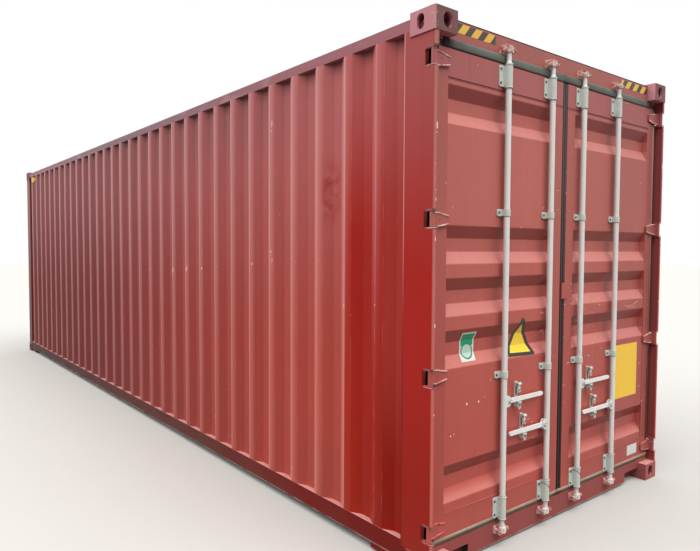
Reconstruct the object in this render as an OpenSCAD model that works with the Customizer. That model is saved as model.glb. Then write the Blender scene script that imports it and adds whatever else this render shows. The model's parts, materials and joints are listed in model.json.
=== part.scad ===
// Steel freight container, 30 ft long and high cube, with double doors at one end.
// Millimetres. +X points out of the door end, +Z up, origin under the middle of the box.

/* [Overall] */
// Length over the corner castings
length = 9125; // [6058:1:12192]
// Width over the corner castings
width = 2438; // [2400:1:2500]
// Height over the corner castings
height = 2896; // [2796:1:2996]
// Set-back of posts, rails and walls behind the casting faces
face_setback = 7; // [5:0.5:10]
// Set-back of the outer door face behind the casting faces
door_setback = 53; // [50:1:58]

/* [Corner castings] */
// Length of a casting along the container
casting_l = 178; // [172:1:186]
// Width of a casting across the container
casting_w = 162; // [156:1:168]
// Height of a casting
casting_h = 118; // [112:1:124]
// Wall of a casting
casting_wall = 28; // [22:1:32]
// Corner radius of a casting's outer upright edge
casting_r = 14; // [8:1:20]
// Aperture centres from the end face
aperture_end = 103.5; // [96:0.5:108]
// Aperture centres from the side face
aperture_side = 89.5; // [84:0.5:94]
// Length of the twistlock aperture
deck_slot_l = 124; // [110:1:126]
// Width of the twistlock and end apertures
deck_slot_w = 63.5; // [56:0.5:66]
// Height of the side and end apertures
side_slot_h = 79; // [70:1:82]
// Width of the side aperture
side_slot_w = 51; // [44:1:56]

/* [Posts and rails] */
// Plate of the posts
post_t = 6; // [4:0.5:8]
// Side width of a door post
door_post_w = 224.5; // [200:0.5:240]
// Depth of a door post's inner box, across the container
door_post_d = 44; // [38:1:50]
// Front of a door post's inner box, behind the door face
post_box_setback = 39.5; // [34:0.5:46]
// Front of a door post's outer lip, ahead of the door face
post_lip_out = 50; // [40:0.5:52]
// Width of a door post's outer lip
post_lip_w = 24; // [20:1:28]
// Bend of the lip's outer corner
post_bend = 10; // [8:0.5:12]
// Start of the lip's hinge notches behind the door face
notch_back = 22; // [16:1:28]
// Depth of a front post, across the container
front_post_d = 100; // [80:1:120]
// Height of a top side rail
top_rail_h = 57; // [50:1:65]
// Depth of a top side rail
top_rail_d = 60; // [50:1:70]
// Top of the top side rail below the casting tops
top_rail_drop = 29; // [27:1:34]
// Underside of the bottom side rail
bottom_rail_z = 45; // [25:1:60]
// Top of the bottom side rail
bottom_rail_top = 152; // [140:1:164]
// Flange width of the bottom side rail
bottom_rail_flange = 50; // [40:1:60]
// Plate of the rails
rail_t = 4.5; // [3:0.5:6]
// Length of the gusset under each end of a bottom rail
gusset_l = 290; // [200:5:400]

/* [Side walls] */
// Depth of the side corrugation
side_depth = 36; // [30:1:40]
// Outer flat of the side corrugation
side_outer = 72; // [60:1:80]
// Inner flat of the side corrugation
side_inner = 70; // [60:1:80]
// Run of a side slope
side_slope = 68; // [50:1:72]
// Plain strip of the side sheet beside the door post
side_margin = 84; // [60:1:100]
// Sheet of the walls, roof and door panels
sheet_t = 2; // [1.6:0.1:3]

/* [Front wall] */
// Depth of the front corrugation
front_depth = 45.6; // [36:0.2:50]
// Outer flat of the front corrugation
front_outer = 110; // [96:1:120]
// Inner flat of the front corrugation
front_inner = 104; // [96:1:120]
// Run of a front slope
front_slope = 18; // [12:1:30]

/* [Roof] */
// Height of the roof corrugation
roof_rise = 18; // [14:1:20]
// Flat on top of a roof corrugation
roof_outer = 91; // [80:1:100]
// Flat between two roof corrugations
roof_inner = 91; // [80:1:100]
// Run of a roof slope
roof_slope = 13.5; // [10:0.5:20]
// Plain margin of the roof sheet at each end
roof_margin = 70; // [50:1:120]
// Plain margin of the roof sheet at each side
roof_side_margin = 90; // [60:1:120]

/* [Floor] */
// Top of the floor above the ground
floor_top = 170; // [160:1:180]
// Thickness of the floor boards
floor_t = 28; // [21:1:32]
// Height of a cross member
cross_h = 122; // [100:1:124]
// Flange of a cross member
cross_flange = 45; // [35:1:55]
// Plate of a cross member
cross_t = 4; // [3:0.5:5]
// Number of cross members
cross_n = 28; // [20:1:34]

/* [Door frame opening] */
// Underside of the door header below the casting tops
header_low = 136; // [126:1:150]
// Top of the door header below the casting tops
header_drop = 14; // [10:1:20]
// Set-back of header and sill behind the door face
header_setback = 4.5; // [3:0.5:6]
// Depth of header and sill along the container
header_d = 120; // [100:1:130]
// Underside of the door sill
sill_z = 15; // [12:1:25]
// Top of the door sill
sill_top = 142; // [134:1:150]
// Width of the notch at each end of the sill
notch_w = 200; // [160:1:220]
// Height of the notch's top above the ground
notch_top = 83; // [70:1:90]
// Depth of the pocket behind each notch of the sill
pocket_d = 60; // [40:1:90]

/* [Doors] */
// Thickness of a door leaf
leaf_t = 50; // [44:1:54]
// Left leaf's edge from the middle
left_edge = 27; // [24:1:30]
// Right leaf's edge from the middle
right_edge = 27; // [24:1:30]
// Hinge-side edge of a leaf inside the post's inner face
leaf_gap = 31; // [26:1:34]
// Bottom edge of the leaves
leaf_z0 = 178; // [172:1:184]
// Top edge of the leaves below the door header
leaf_drop = 35; // [30:1:45]
// Width of the stile at the hinges
stile_hinge = 71; // [60:1:90]
// Width of the stile at the middle
stile_mid = 85; // [70:1:100]
// Height of the leaf's top rail
leaf_top_rail = 142; // [120:1:150]
// Height of the leaf's bottom rail
leaf_bottom_rail = 124; // [110:1:140]
// Wall of the leaf's tubes
tube_t = 3; // [2.5:0.5:4]
// Height of a pressed recess in a door panel
recess_h = 206; // [190:1:212]
// Depth of a pressed recess
recess_depth = 34; // [24:1:36]
// Run of a recess's upper and lower slopes
recess_slope = 68; // [50:1:72]
// Run of a recess's end slopes
recess_end = 16; // [12:1:40]
// Spacing of the three middle recesses
recess_pitch = 276; // [270:1:290]
// Centre of the middle recess above the middle of the panel
recess_mid_up = 4.5; // [-10:0.5:10]
// Centre of the lowest recess above the panel's edge
recess_low_edge = 154; // [125:1:170]
// Centre of the highest recess below the panel's edge
recess_top_edge = 136; // [125:1:170]
// Thickness of a door seal along the container
seal_t = 25; // [20:1:28]
// Gap between a seal and what it faces
seal_gap = 5; // [5:0.5:7]
// Front of the seals behind the door face
seal_setback = 4.5; // [3:0.5:8]
// Width of the seal strip on the left leaf's free edge
left_strip = 3; // [2:0.5:4]
// Gap between the two leaves' seals
mid_gap = 8; // [8:0.5:10]

/* [Hinges] */
// Pin axis ahead of the door face
pin_out = 26.5; // [25:0.5:28]
// Pin axis inside the side of the post
pin_in = 12; // [11:0.5:14]
// Radius of a hinge pin
pin_r = 8; // [7:0.5:9]
// Radius of a hinge knuckle
knuckle_r = 13; // [12:0.5:14]
// Height of a hinge blade
blade_h = 76; // [70:1:90]
// Height of a hinge blade at its free end
blade_tip_h = 46; // [40:1:60]
// Thickness of a hinge blade
blade_t = 11; // [9:0.5:11.5]
// Length of a hinge blade inside the pin
blade_l = 142; // [130:1:170]
// Lowest hinge's centre
hinge_z0 = 240; // [236:1:260]
// Highest hinge's centre below the casting tops
hinge_top = 241; // [236:1:260]
// Number of hinges per leaf
hinge_n = 4; // [3:1:4]
// Length of the web between a hinge's blade and its knuckle
blade_web = 60; // [50:1:70]
// Thickness of a hinge lug
lug_t = 12; // [10:1:14]
// Running clearance of pins and rods
run_gap = 0.1; // [0.05:0.05:0.3]

/* [Lock rods] */
// Radius of a lock rod
rod_r = 17; // [15:0.5:18]
// Wall of a lock rod
rod_wall = 3.5; // [3:0.5:5]
// Radius of a lock rod's neck beside each cam
neck_r = 13; // [11:0.5:14]
// Radius of the collars that hold a rod in its bearings
collar_r = 22.5; // [20:0.5:23]
// Height of a collar
collar_h = 8; // [6:1:12]
// Length of the taper from a rod to its neck
cone_h = 16; // [10:1:20]
// Rod axis ahead of the door face
rod_out = 24.5; // [23:0.5:26]
// Outer rods from the middle
rod_y_outer = 600; // [580:1:640]
// Inner rods from the middle
rod_y_inner = 174; // [165:1:190]
// Centre height of the lower cams
cam_z0 = 98; // [92:1:104]
// Centre of the upper cams below the casting tops
cam_top = 94; // [86:1:100]
// Height of a cam
cam_h = 30; // [24:1:36]
// Reach of a cam's nose
cam_reach = 27; // [25:0.5:27]
// Inner half width of a keeper
keeper_half = 36; // [36:0.5:40]
// Cheek of a keeper
keeper_t = 8; // [6:1:10]
// Height of a keeper
keeper_h = 46; // [40:1:52]
// Reach of a keeper's cheeks ahead of the header
keeper_out = 44; // [40:1:50]
// Centre height of the lower bearings
bearing_low_z = 228; // [220:1:240]
// Centre of the upper bearings below the casting tops
bearing_top = 238; // [232:1:246]
// Height of an end bearing
bearing_h = 116; // [100:1:120]
// Centre height of the lower guides
guide_low_z = 992; // [980:1:1005]
// Centre of the upper guides below the casting tops
guide_top = 991; // [980:1:1005]
// Height of a guide
guide_h = 38; // [34:1:50]
// Outer radius of a bearing's sleeve
sleeve_r = 21; // [20:0.5:22]
// Plate of a bearing
bearing_t = 6; // [4:0.5:7]
// Plate of a bearing, to the left of the rod
plate_left = 58; // [50:1:64]
// Plate of a bearing, to the right of the rod
plate_right = 34; // [28:1:44]

/* [Handles] */
// Height of the upper handles
handle_z_high = 835; // [820:1:860]
// Height of the lower handles
handle_z_low = 640; // [620:1:660]
// Reach of a handle's tip from its rod
handle_reach = 372; // [340:1:378]
// Height of a handle bar
bar_h = 26; // [22:1:30]
// Thickness of a handle bar
bar_t = 10; // [8:0.5:12]
// Height of a handle bar at its tip
bar_tip_h = 24; // [18:1:26]
// Height of the fork that holds a handle
fork_h = 62; // [50:1:70]
// Handle pivot from the rod axis
pivot_y = 40; // [39:0.5:46]
// Radius of a handle's pivot pin
pivot_r = 6; // [5:0.5:7]
// Catches of the upper handles from their rods
catch_high = 140; // [120:1:160]
// Catches of the lower handles from their rods
catch_low = 230; // [200:1:240]
// Width of a catch
catch_w = 28; // [26:1:36]
// Bottom of a catch's flap above the bar's middle
flap_gap = 34; // [33:1:40]
// Hinge of a catch's flap above the bar's middle
flap_pin = 84; // [80:1:90]

/* [Hidden] */
$fn = 48;
red = [0.66, 0.33, 0.31];
side_red = [0.58, 0.30, 0.29];
dark_red = [0.40, 0.14, 0.12];
rail_red = [0.30, 0.14, 0.13];
grey_green = [0.78, 0.81, 0.78];
light_grey = [0.76, 0.76, 0.74];
rubber = [0.25, 0.26, 0.25];
wood = [0.55, 0.40, 0.25];

eps = 1;
xe = length / 2;
half_w = width / 2;
face_y = half_w - face_setback;
cast_x = xe - casting_l;
cast_y = half_w - casting_w;
door_x = xe - door_setback;
head_x = door_x - header_setback;
head_back = head_x - header_d;
header_top = height - header_drop;
header_z = height - header_low;
leaf_z1 = header_z - leaf_drop;
panel_z0 = leaf_z0 + leaf_bottom_rail;
panel_z1 = leaf_z1 - leaf_top_rail;
cam_z1 = height - cam_top;
bearing_top_z = height - bearing_top;
guide_top_z = height - guide_top;
floor_z = floor_top - floor_t;
upper_z = height - casting_h;
rail_top_z = height - top_rail_drop;
rail_low_z = rail_top_z - top_rail_h;
post_x0 = xe - door_post_w;
post_box_x = door_x - post_box_setback;
post_lip_x = door_x + post_lip_out;
post_in_y = face_y - door_post_d;
front_x = -xe + face_setback;
front_in_y = face_y - front_post_d;
leaf_out = post_in_y - leaf_gap;
leaf_back = door_x - leaf_t;
seal_x1 = door_x - seal_setback;
seal_x0 = seal_x1 - seal_t;
pin_x = door_x + pin_out;
pin_y = face_y - pin_in;
notch_x = door_x - notch_back;
notch_half = blade_h / 2 + lug_t + 1;
rod_x = door_x + rod_out;
rod_y = [-rod_y_outer, -rod_y_inner, rod_y_inner, rod_y_outer];
handle_dir = [1, -1, 1, -1];
handle_z = [handle_z_high, handle_z_low, handle_z_high, handle_z_low];
catch_off = [catch_high, catch_low, catch_high, catch_low];
hinge_pitch = (height - hinge_top - hinge_z0) / (hinge_n - 1);
hinge_z = [for (i = [0 : hinge_n - 1]) hinge_z0 + i * hinge_pitch];
side_pitch = side_outer + side_inner + 2 * side_slope;
front_pitch = front_outer + front_inner + 2 * front_slope;
roof_pitch = roof_outer + roof_inner + 2 * roof_slope;
recess_mid_z = (panel_z0 + panel_z1) / 2 + recess_mid_up;
recess_z = [panel_z0 + recess_low_edge, recess_mid_z - recess_pitch, recess_mid_z,
    recess_mid_z + recess_pitch, panel_z1 - recess_top_edge];

// A box from one corner to the other.
module block(a, b) {
    translate(a)
        cube(b - a);
}

// Its children and their copy across the middle plane.
module both_sides() {
    children();
    mirror([0, 1, 0])
        children();
}

// An outline in X and Z, drawn out along Y from y0 to y1.
module along_y(y0, y1) {
    translate([0, y1, 0])
        rotate([90, 0, 0])
            linear_extrude(y1 - y0)
                children();
}

// An outline in Y and Z, drawn out along X from x0 to x1.
module along_x(x0, x1) {
    translate([x0, 0, 0])
        rotate([90, 0, 90])
            linear_extrude(x1 - x0)
                children();
}

// A slot with round ends, long in its first direction, for cutting through a wall.
module slot(long, wide, deep) {
    linear_extrude(deep) {
        square([long - wide, wide], center = true);
        for (s = [-1, 1])
            translate([s * (long - wide) / 2, 0])
                circle(d = wide);
    }
}

// Corner castings.

// The bottom casting of the door end on the left, with its three apertures.
module casting() {
    difference() {
        translate([0, 0, 0])
            linear_extrude(casting_h)
                difference() {
                    translate([cast_x, -half_w])
                        square([casting_l, casting_w]);
                    difference() {
                        translate([xe - casting_r, -half_w - eps])
                            square([casting_r + eps, casting_r + eps]);
                        translate([xe - casting_r, -half_w + casting_r])
                            circle(casting_r);
                    }
                }
        block([cast_x + casting_wall / 2, -half_w + casting_wall, casting_wall],
            [xe - casting_wall, -cast_y - casting_wall / 2, casting_h - casting_wall / 2]);
        translate([xe - aperture_end, -half_w + aperture_side, -eps])
            slot(deck_slot_l, deck_slot_w, casting_wall + 2 * eps);
        translate([xe - aperture_end, -half_w - eps, casting_h / 2])
            rotate([-90, 90, 0])
                slot(side_slot_h, side_slot_w, casting_wall + 2 * eps);
        translate([xe + eps, -half_w + aperture_side, casting_h / 2])
            rotate([0, -90, 0])
                slot(side_slot_h, deck_slot_w, casting_wall + 2 * eps);
    }
}

module castings_door_bottom() {
    color(red)
        both_sides()
            casting();
}

module castings_front_bottom() {
    color(red)
        both_sides()
            mirror([1, 0, 0])
                casting();
}

module castings_door_top() {
    color(red)
        both_sides()
            translate([0, 0, height])
                mirror([0, 0, 1])
                    casting();
}

module castings_front_top() {
    color(red)
        both_sides()
            translate([0, 0, height])
                mirror([0, 0, 1])
                    mirror([1, 0, 0])
                        casting();
}

// Posts.

// Plan of the right door post: a box with a plate and lip that shelter the hinges.
module door_post_plan(x1) {
    difference() {
        translate([post_x0, post_in_y])
            square([x1 - post_x0, door_post_d]);
        translate([post_x0 + post_t, post_in_y + post_t])
            square([x1 - post_x0 - 2 * post_t, door_post_d - 2 * post_t]);
    }
}

// Plan of the lip ahead of a door post: a plate bent inwards at its front.
module post_lip_plan() {
    bend_x = post_lip_x - post_bend;
    bend_y = face_y - post_bend;
    translate([post_box_x, face_y - post_t])
        square([bend_x - post_box_x, post_t]);
    translate([post_lip_x - post_t, face_y - post_lip_w])
        square([post_t, post_lip_w - post_bend]);
    translate([bend_x, bend_y])
        intersection() {
            difference() {
                circle(post_bend);
                circle(post_bend - post_t);
            }
            square(post_bend);
        }
}

module posts_door() {
    color(red)
        both_sides() {
            translate([0, 0, casting_h])
                linear_extrude(upper_z - casting_h)
                    door_post_plan(post_box_x);
            block([post_x0, post_in_y, upper_z], [cast_x, face_y, rail_low_z]);
            difference() {
                translate([0, 0, casting_h])
                    linear_extrude(upper_z - casting_h)
                        post_lip_plan();
                for (z = hinge_z)
                    block([notch_x, face_y - 2 * post_lip_w, z - notch_half],
                        [post_lip_x + eps, face_y + eps, z + notch_half]);
            }
        }
}

module posts_front() {
    color(red)
        both_sides()
            translate([0, 0, casting_h])
                linear_extrude(upper_z - casting_h)
                    difference() {
                        translate([front_x, front_in_y])
                            square([-cast_x - front_x, front_post_d]);
                        translate([front_x + post_t, front_in_y + post_t])
                            square([-cast_x - front_x - 2 * post_t,
                                front_post_d - 2 * post_t]);
                    }
}

// Walls and roof.

side_len = post_x0 + cast_x;
side_n = floor((side_len - side_margin) / side_pitch);
side_first = post_x0 - side_margin - side_slope;

// One face of the side sheet in plan, as points from the door end to the front.
function side_line(y, d) = concat([[post_x0, y - d]],
    [for (i = [0 : side_n - 1]) for (p = [[side_slope, -d], [0, 0], [-side_outer, 0],
        [-side_outer - side_slope, -d]]) [side_first - i * side_pitch + p[0], y + p[1]]],
    [[-cast_x, y - d]]);

module side_wall() {
    outer = side_line(face_y, side_depth);
    inner = side_line(face_y - sheet_t, side_depth);
    n = len(inner);
    translate([0, 0, bottom_rail_top])
        linear_extrude(rail_low_z - bottom_rail_top)
            polygon(concat(outer, [for (i = [0 : n - 1]) inner[n - 1 - i]]));
}

module side_wall_left() {
    color(side_red)
        mirror([0, 1, 0])
            side_wall();
}

module side_wall_right() {
    color(side_red)
        side_wall();
}

front_n = floor((2 * front_in_y - front_outer - 4 * eps) / front_pitch);
front_edge = front_in_y - front_n * front_pitch / 2;

// One face of the front sheet in plan, as points from left to right.
function front_line(x) = concat([[x, -front_in_y]],
    [for (i = [0 : front_n - 1]) let (y = i * front_pitch - front_in_y + front_edge)
        for (p = [[front_outer / 2, 0], [front_outer / 2 + front_slope, front_depth],
            [front_outer / 2 + front_slope + front_inner, front_depth],
            [front_outer / 2 + 2 * front_slope + front_inner, 0]])
            [x + p[1], y + p[0]]],
    [[x, front_in_y]]);

module front_wall() {
    outer = front_line(front_x);
    inner = front_line(front_x + sheet_t);
    n = len(inner);
    color(side_red)
        translate([0, 0, floor_z])
            linear_extrude(upper_z - floor_z)
                polygon(concat(outer, [for (i = [0 : n - 1]) inner[n - 1 - i]]));
}

roof_len = 2 * cast_x - 2 * roof_margin;
roof_n = floor((roof_len + roof_inner) / roof_pitch);
roof_start = (roof_inner - roof_n * roof_pitch) / 2;

// Upper edge of the roof lengthwise, as points, at the given height.
function roof_line(z) = concat([[-cast_x, z]],
    [for (i = [0 : roof_n - 1]) for (p = [[0, 0], [roof_slope, roof_rise],
        [roof_slope + roof_outer, roof_rise], [2 * roof_slope + roof_outer, 0]])
        [roof_start + i * roof_pitch + p[0], z + p[1]]],
    [[cast_x, z]]);

// Everything under the roof's pressed surface, down to z0.
module under_roof(z0, z) {
    edge = face_y - roof_side_margin;
    intersection() {
        along_y(-face_y, face_y)
            polygon(concat(roof_line(z), [[cast_x, z0], [-cast_x, z0]]));
        along_x(-cast_x, cast_x)
            polygon([[-face_y, z0], [-face_y, z], [-edge - roof_rise, z],
                [-edge, z + roof_rise], [edge, z + roof_rise],
                [edge + roof_rise, z], [face_y, z], [face_y, z0]]);
    }
}

module roof() {
    color(side_red) {
        difference() {
            under_roof(rail_top_z, rail_top_z + sheet_t);
            under_roof(rail_top_z - eps, rail_top_z);
        }
        block([front_x, -cast_y, rail_top_z], [-cast_x, cast_y, rail_top_z + sheet_t]);
    }
}

// Rails.

module top_rails() {
    color(side_red)
        both_sides()
            along_x(-cast_x, cast_x)
                difference() {
                    translate([face_y - top_rail_d, rail_low_z])
                        square([top_rail_d, top_rail_h]);
                    translate([face_y - top_rail_d + rail_t, rail_low_z + rail_t])
                        square([top_rail_d - 2 * rail_t, top_rail_h - 2 * rail_t]);
                }
}

// A channel open towards the middle, between two heights, on the right side.
module rail_channel(z0, z1) {
    difference() {
        translate([face_y - bottom_rail_flange, z0])
            square([bottom_rail_flange, z1 - z0]);
        translate([face_y - bottom_rail_flange - eps, z0 + rail_t])
            square([bottom_rail_flange + eps - rail_t, z1 - z0 - 2 * rail_t]);
    }
}

module bottom_rails() {
    color(rail_red)
        both_sides() {
            along_x(-cast_x, post_x0)
                rail_channel(bottom_rail_z, bottom_rail_top);
            along_x(post_x0, cast_x)
                rail_channel(bottom_rail_z, casting_h);
            for (s = [-1, 1])
                block([min(s * cast_x, s * (cast_x - gusset_l)), face_y - rail_t, sill_z],
                    [max(s * cast_x, s * (cast_x - gusset_l)), face_y, bottom_rail_z]);
        }
}

module front_top_rail() {
    color(side_red)
        difference() {
            block([front_x, -cast_y, upper_z], [front_x + top_rail_d, cast_y, rail_top_z]);
            block([front_x + rail_t, -cast_y - eps, upper_z + rail_t],
                [front_x + top_rail_d - rail_t, cast_y + eps, rail_top_z - rail_t]);
        }
}

module front_bottom_rail() {
    color(rail_red) {
        difference() {
            block([front_x, -cast_y, sill_z],
                [front_x + front_post_d, cast_y, floor_z]);
            block([front_x + rail_t, -cast_y - eps, sill_z + rail_t],
                [front_x + front_post_d + eps, cast_y + eps, floor_z - rail_t]);
        }
        both_sides()
            block([front_x, cast_y, casting_h],
                [front_x + front_depth + sheet_t, front_in_y, floor_z]);
    }
}

module door_header() {
    color(red) {
        difference() {
            block([head_back, -cast_y, header_z], [head_x, cast_y, header_top]);
            block([head_back + rail_t, -cast_y - eps, header_z + rail_t],
                [head_x - rail_t, cast_y + eps, header_top - rail_t]);
        }
        both_sides()
            block([head_back, cast_y, header_z], [head_x, post_in_y, upper_z]);
    }
}

module door_sill() {
    color(red) {
        difference() {
            block([head_back, -cast_y, sill_z], [head_x, cast_y, sill_top]);
            block([head_back + rail_t, -cast_y - eps, sill_z - eps],
                [head_x - post_t, cast_y + eps, sill_top - post_t]);
            both_sides()
                block([head_x - 2 * post_t, cast_y - notch_w, sill_z - eps],
                    [head_x + eps, cast_y + eps, notch_top]);
        }
        both_sides() {
            block([head_back, cast_y, casting_h], [head_x, post_in_y, sill_top]);
            block([head_x - pocket_d, cast_y - notch_w, sill_z],
                [head_x - pocket_d + rail_t, cast_y, sill_top - post_t]);
        }
    }
}

// Floor.

floor_x0 = front_x + front_depth + sheet_t;
floor_x1 = leaf_back - 8;
floor_y = face_y - bottom_rail_flange;

module floor() {
    color(wood)
        difference() {
            block([floor_x0, -floor_y, floor_z], [floor_x1, floor_y, floor_top]);
            both_sides() {
                block([floor_x0 - eps, front_in_y, floor_z - eps],
                    [-cast_x, face_y, floor_top + eps]);
                block([post_x0, post_in_y - 8, floor_z - eps],
                    [floor_x1 + eps, face_y, floor_top + eps]);
            }
        }
}

module cross_members() {
    x0 = -cast_x + 40;
    x1 = head_back - 60;
    z0 = floor_z - cross_h;
    color(rail_red)
        for (i = [0 : cross_n - 1])
            translate([x0 + i * (x1 - x0) / (cross_n - 1) - cross_flange / 2, 0, z0])
                difference() {
                    block([0, -floor_y, 0], [cross_flange, floor_y, cross_h]);
                    block([cross_t, -floor_y - eps, cross_t],
                        [cross_flange + eps, floor_y + eps, cross_h - cross_t]);
                }
}

// Hinges.

module hinge_lugs() {
    color(red)
        both_sides()
            for (z = hinge_z) {
                for (s = [-1, 1])
                    translate([0, 0, z + s * (blade_h / 2 + 1 + lug_t / 2)])
                        linear_extrude(lug_t, center = true) {
                            translate([pin_x, pin_y])
                                circle(knuckle_r);
                            translate([post_box_x, face_y - post_lip_w])
                                square([pin_x - post_box_x, post_lip_w - post_t]);
                            translate([notch_x, face_y - post_lip_w])
                                square([pin_x - notch_x, post_lip_w]);
                        }
                translate([pin_x, pin_y, z])
                    cylinder(r = pin_r, h = 2 * notch_half, center = true);
            }
}

// The right leaf's hinge blades, each wrapped round its pin.
module hinge_blades() {
    difference() {
        for (z = hinge_z)
            translate([0, 0, z]) {
                translate([pin_x, pin_y, 0])
                    cylinder(r = knuckle_r, h = blade_h, center = true);
                linear_extrude(blade_h, center = true)
                    polygon([[door_x, pin_y - blade_web], [door_x, pin_y - 7],
                        [pin_x - 9, pin_y + 9], [pin_x - 6, pin_y - 11],
                        [door_x + blade_t, pin_y - 17], [door_x + blade_t, pin_y - blade_web]]);
                along_x(door_x, door_x + blade_t)
                    polygon([[pin_y - blade_web, -blade_h / 2], [pin_y - blade_web, blade_h / 2],
                        [pin_y - blade_l + 8, blade_tip_h / 2],
                        [pin_y - blade_l, blade_tip_h / 2 - 8],
                        [pin_y - blade_l, 8 - blade_tip_h / 2],
                        [pin_y - blade_l + 8, -blade_tip_h / 2]]);
            }
        for (z = hinge_z)
            translate([pin_x, pin_y, z])
                cylinder(r = pin_r + run_gap, h = blade_h + 2 * eps, center = true);
    }
}

module hinge_blades_left() {
    color(red)
        mirror([0, 1, 0])
            hinge_blades();
}

module hinge_blades_right() {
    color(red)
        hinge_blades();
}

// Door leaves.

// Tube frame of a leaf on the right side, between its free edge and its hinge edge.
module leaf_frame(edge) {
    panel_y0 = edge + stile_mid;
    panel_y1 = leaf_out - stile_hinge;
    difference() {
        block([leaf_back, edge, leaf_z0], [door_x, leaf_out, leaf_z1]);
        block([leaf_back - eps, panel_y0, panel_z0], [door_x + eps, panel_y1, panel_z1]);
        block([leaf_back + tube_t, edge + tube_t, leaf_z0 + tube_t],
            [door_x - tube_t, panel_y0 - tube_t, leaf_z1 - tube_t]);
        block([leaf_back + tube_t, panel_y1 + tube_t, leaf_z0 + tube_t],
            [door_x - tube_t, leaf_out - tube_t, leaf_z1 - tube_t]);
        block([leaf_back + tube_t, panel_y0, leaf_z0 + tube_t],
            [door_x - tube_t, panel_y1, panel_z0 - tube_t]);
        block([leaf_back + tube_t, panel_y0, panel_z1 + tube_t],
            [door_x - tube_t, panel_y1, leaf_z1 - tube_t]);
    }
}

// Everything behind the pressed face of a door panel, back to x0.
module behind_panel(x0, x, y0, y1, z0, z1) {
    pressed = [for (c = recess_z) for (p = [[0, -recess_h / 2],
        [-recess_depth, recess_slope - recess_h / 2],
        [-recess_depth, recess_h / 2 - recess_slope], [0, recess_h / 2]])
        [x + p[0], c + p[1]]];
    along_y(y0, y1)
        polygon(concat([[x0, z0], [x, z0]], pressed, [[x, z1], [x0, z1]]));
    translate([0, 0, z0])
        linear_extrude(z1 - z0)
            polygon([[x0, y0], [x, y0], [x - recess_depth, y0 + recess_end],
                [x - recess_depth, y1 - recess_end], [x, y1], [x0, y1]]);
}

// Pressed sheet of a leaf on the right side, set into its tube frame.
module leaf_panel(edge) {
    y0 = edge + stile_mid;
    y1 = leaf_out - stile_hinge;
    face = door_x - sheet_t;
    back = face - recess_depth - 2 * sheet_t;
    difference() {
        behind_panel(back, face, y0, y1, panel_z0, panel_z1);
        behind_panel(back - eps, face - sheet_t, y0, y1, panel_z0, panel_z1);
    }
}

// Rubber seal round a leaf on the right side; the free edge's strip ends at y0.
module leaf_seal(edge, y0) {
    difference() {
        block([seal_x0, y0, sill_top + seal_gap],
            [seal_x1, post_in_y - seal_gap, header_z - seal_gap]);
        block([seal_x0 - eps, edge, leaf_z0], [seal_x1 + eps, leaf_out, leaf_z1]);
    }
}

module door_frame_left() {
    color(red)
        mirror([0, 1, 0])
            leaf_frame(left_edge);
}

module door_frame_right() {
    color(red) {
        leaf_frame(right_edge);
        block([door_x, mid_seal_y + 2, recess_mid_z - 55],
            [door_x + 8, right_edge + 22, recess_mid_z + 45]);
    }
}

module door_panel_left() {
    color(red)
        mirror([0, 1, 0])
            leaf_panel(left_edge);
}

module door_panel_right() {
    color(red)
        leaf_panel(right_edge);
}

mid_seal_y = -left_edge + left_strip + mid_gap;

module door_seal_left() {
    color(rubber)
        mirror([0, 1, 0])
            leaf_seal(left_edge, left_edge - left_strip);
}

module door_seal_right() {
    color(rubber)
        leaf_seal(right_edge, mid_seal_y);
}

// Locking gear.

// A keeper at the given rod and height: a plate with two horned cheeks, open ahead.
module keeper(y, z) {
    base = 4;
    tip_r = keeper_h / 4;
    translate([head_x, y, z]) {
        block([0, -keeper_half - keeper_t - 4, -keeper_h / 2],
            [base, keeper_half + keeper_t + 4, keeper_h / 2]);
        for (s = [-1, 1])
            translate([0, s * (keeper_half + keeper_t / 2) + keeper_t / 2, 0])
                rotate([90, 0, 0])
                    linear_extrude(keeper_t) {
                        polygon([[0, -keeper_h / 2], [keeper_out - 2 * tip_r, -tip_r],
                            [keeper_out - tip_r, -tip_r], [keeper_out - tip_r, tip_r],
                            [keeper_out - 2 * tip_r, tip_r], [0, keeper_h / 2]]);
                        translate([keeper_out - tip_r, 0])
                            circle(tip_r);
                    }
    }
}

module cam_keepers() {
    color(red)
        for (y = rod_y)
            for (z = [cam_z0, cam_z1])
                keeper(y, z);
}

// A bearing for one rod: plate, saddle and sleeve. Its seat lies this far behind
// the door face.
module bearing(y, z, h, seat) {
    corner = 8;
    translate([door_x, y, z])
        difference() {
            union() {
                translate([-seat, 0, 0])
                    rotate([90, 0, 90])
                        linear_extrude(bearing_t + seat) {
                            translate([-plate_left + corner, -h / 2])
                                square([plate_left + plate_right - 2 * corner, h]);
                            translate([-plate_left, corner - h / 2])
                                square([plate_left + plate_right, h - 2 * corner]);
                            for (y = [corner - plate_left, plate_right - corner])
                                for (z = [corner - h / 2, h / 2 - corner])
                                    translate([y, z])
                                        circle(corner);
                        }
                block([0, -sleeve_r, 2 - h / 2], [rod_out, sleeve_r, h / 2 - 2]);
                translate([rod_out, 0, 0])
                    cylinder(r = sleeve_r, h = h, center = true);
            }
            translate([rod_out, 0, 0])
                cylinder(r = rod_r + run_gap, h = h + 2 * eps, center = true);
        }
}

module rod_bearings(rods) {
    color(grey_green)
        for (i = rods) {
            bearing(rod_y[i], bearing_low_z, bearing_h, 0);
            bearing(rod_y[i], bearing_top_z, bearing_h, 0);
            bearing(rod_y[i], guide_low_z, guide_h, sheet_t);
            bearing(rod_y[i], guide_top_z, guide_h, sheet_t);
        }
}

module rod_bearings_left() {
    rod_bearings([0, 1]);
}

module rod_bearings_right() {
    rod_bearings([2, 3]);
}

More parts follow.
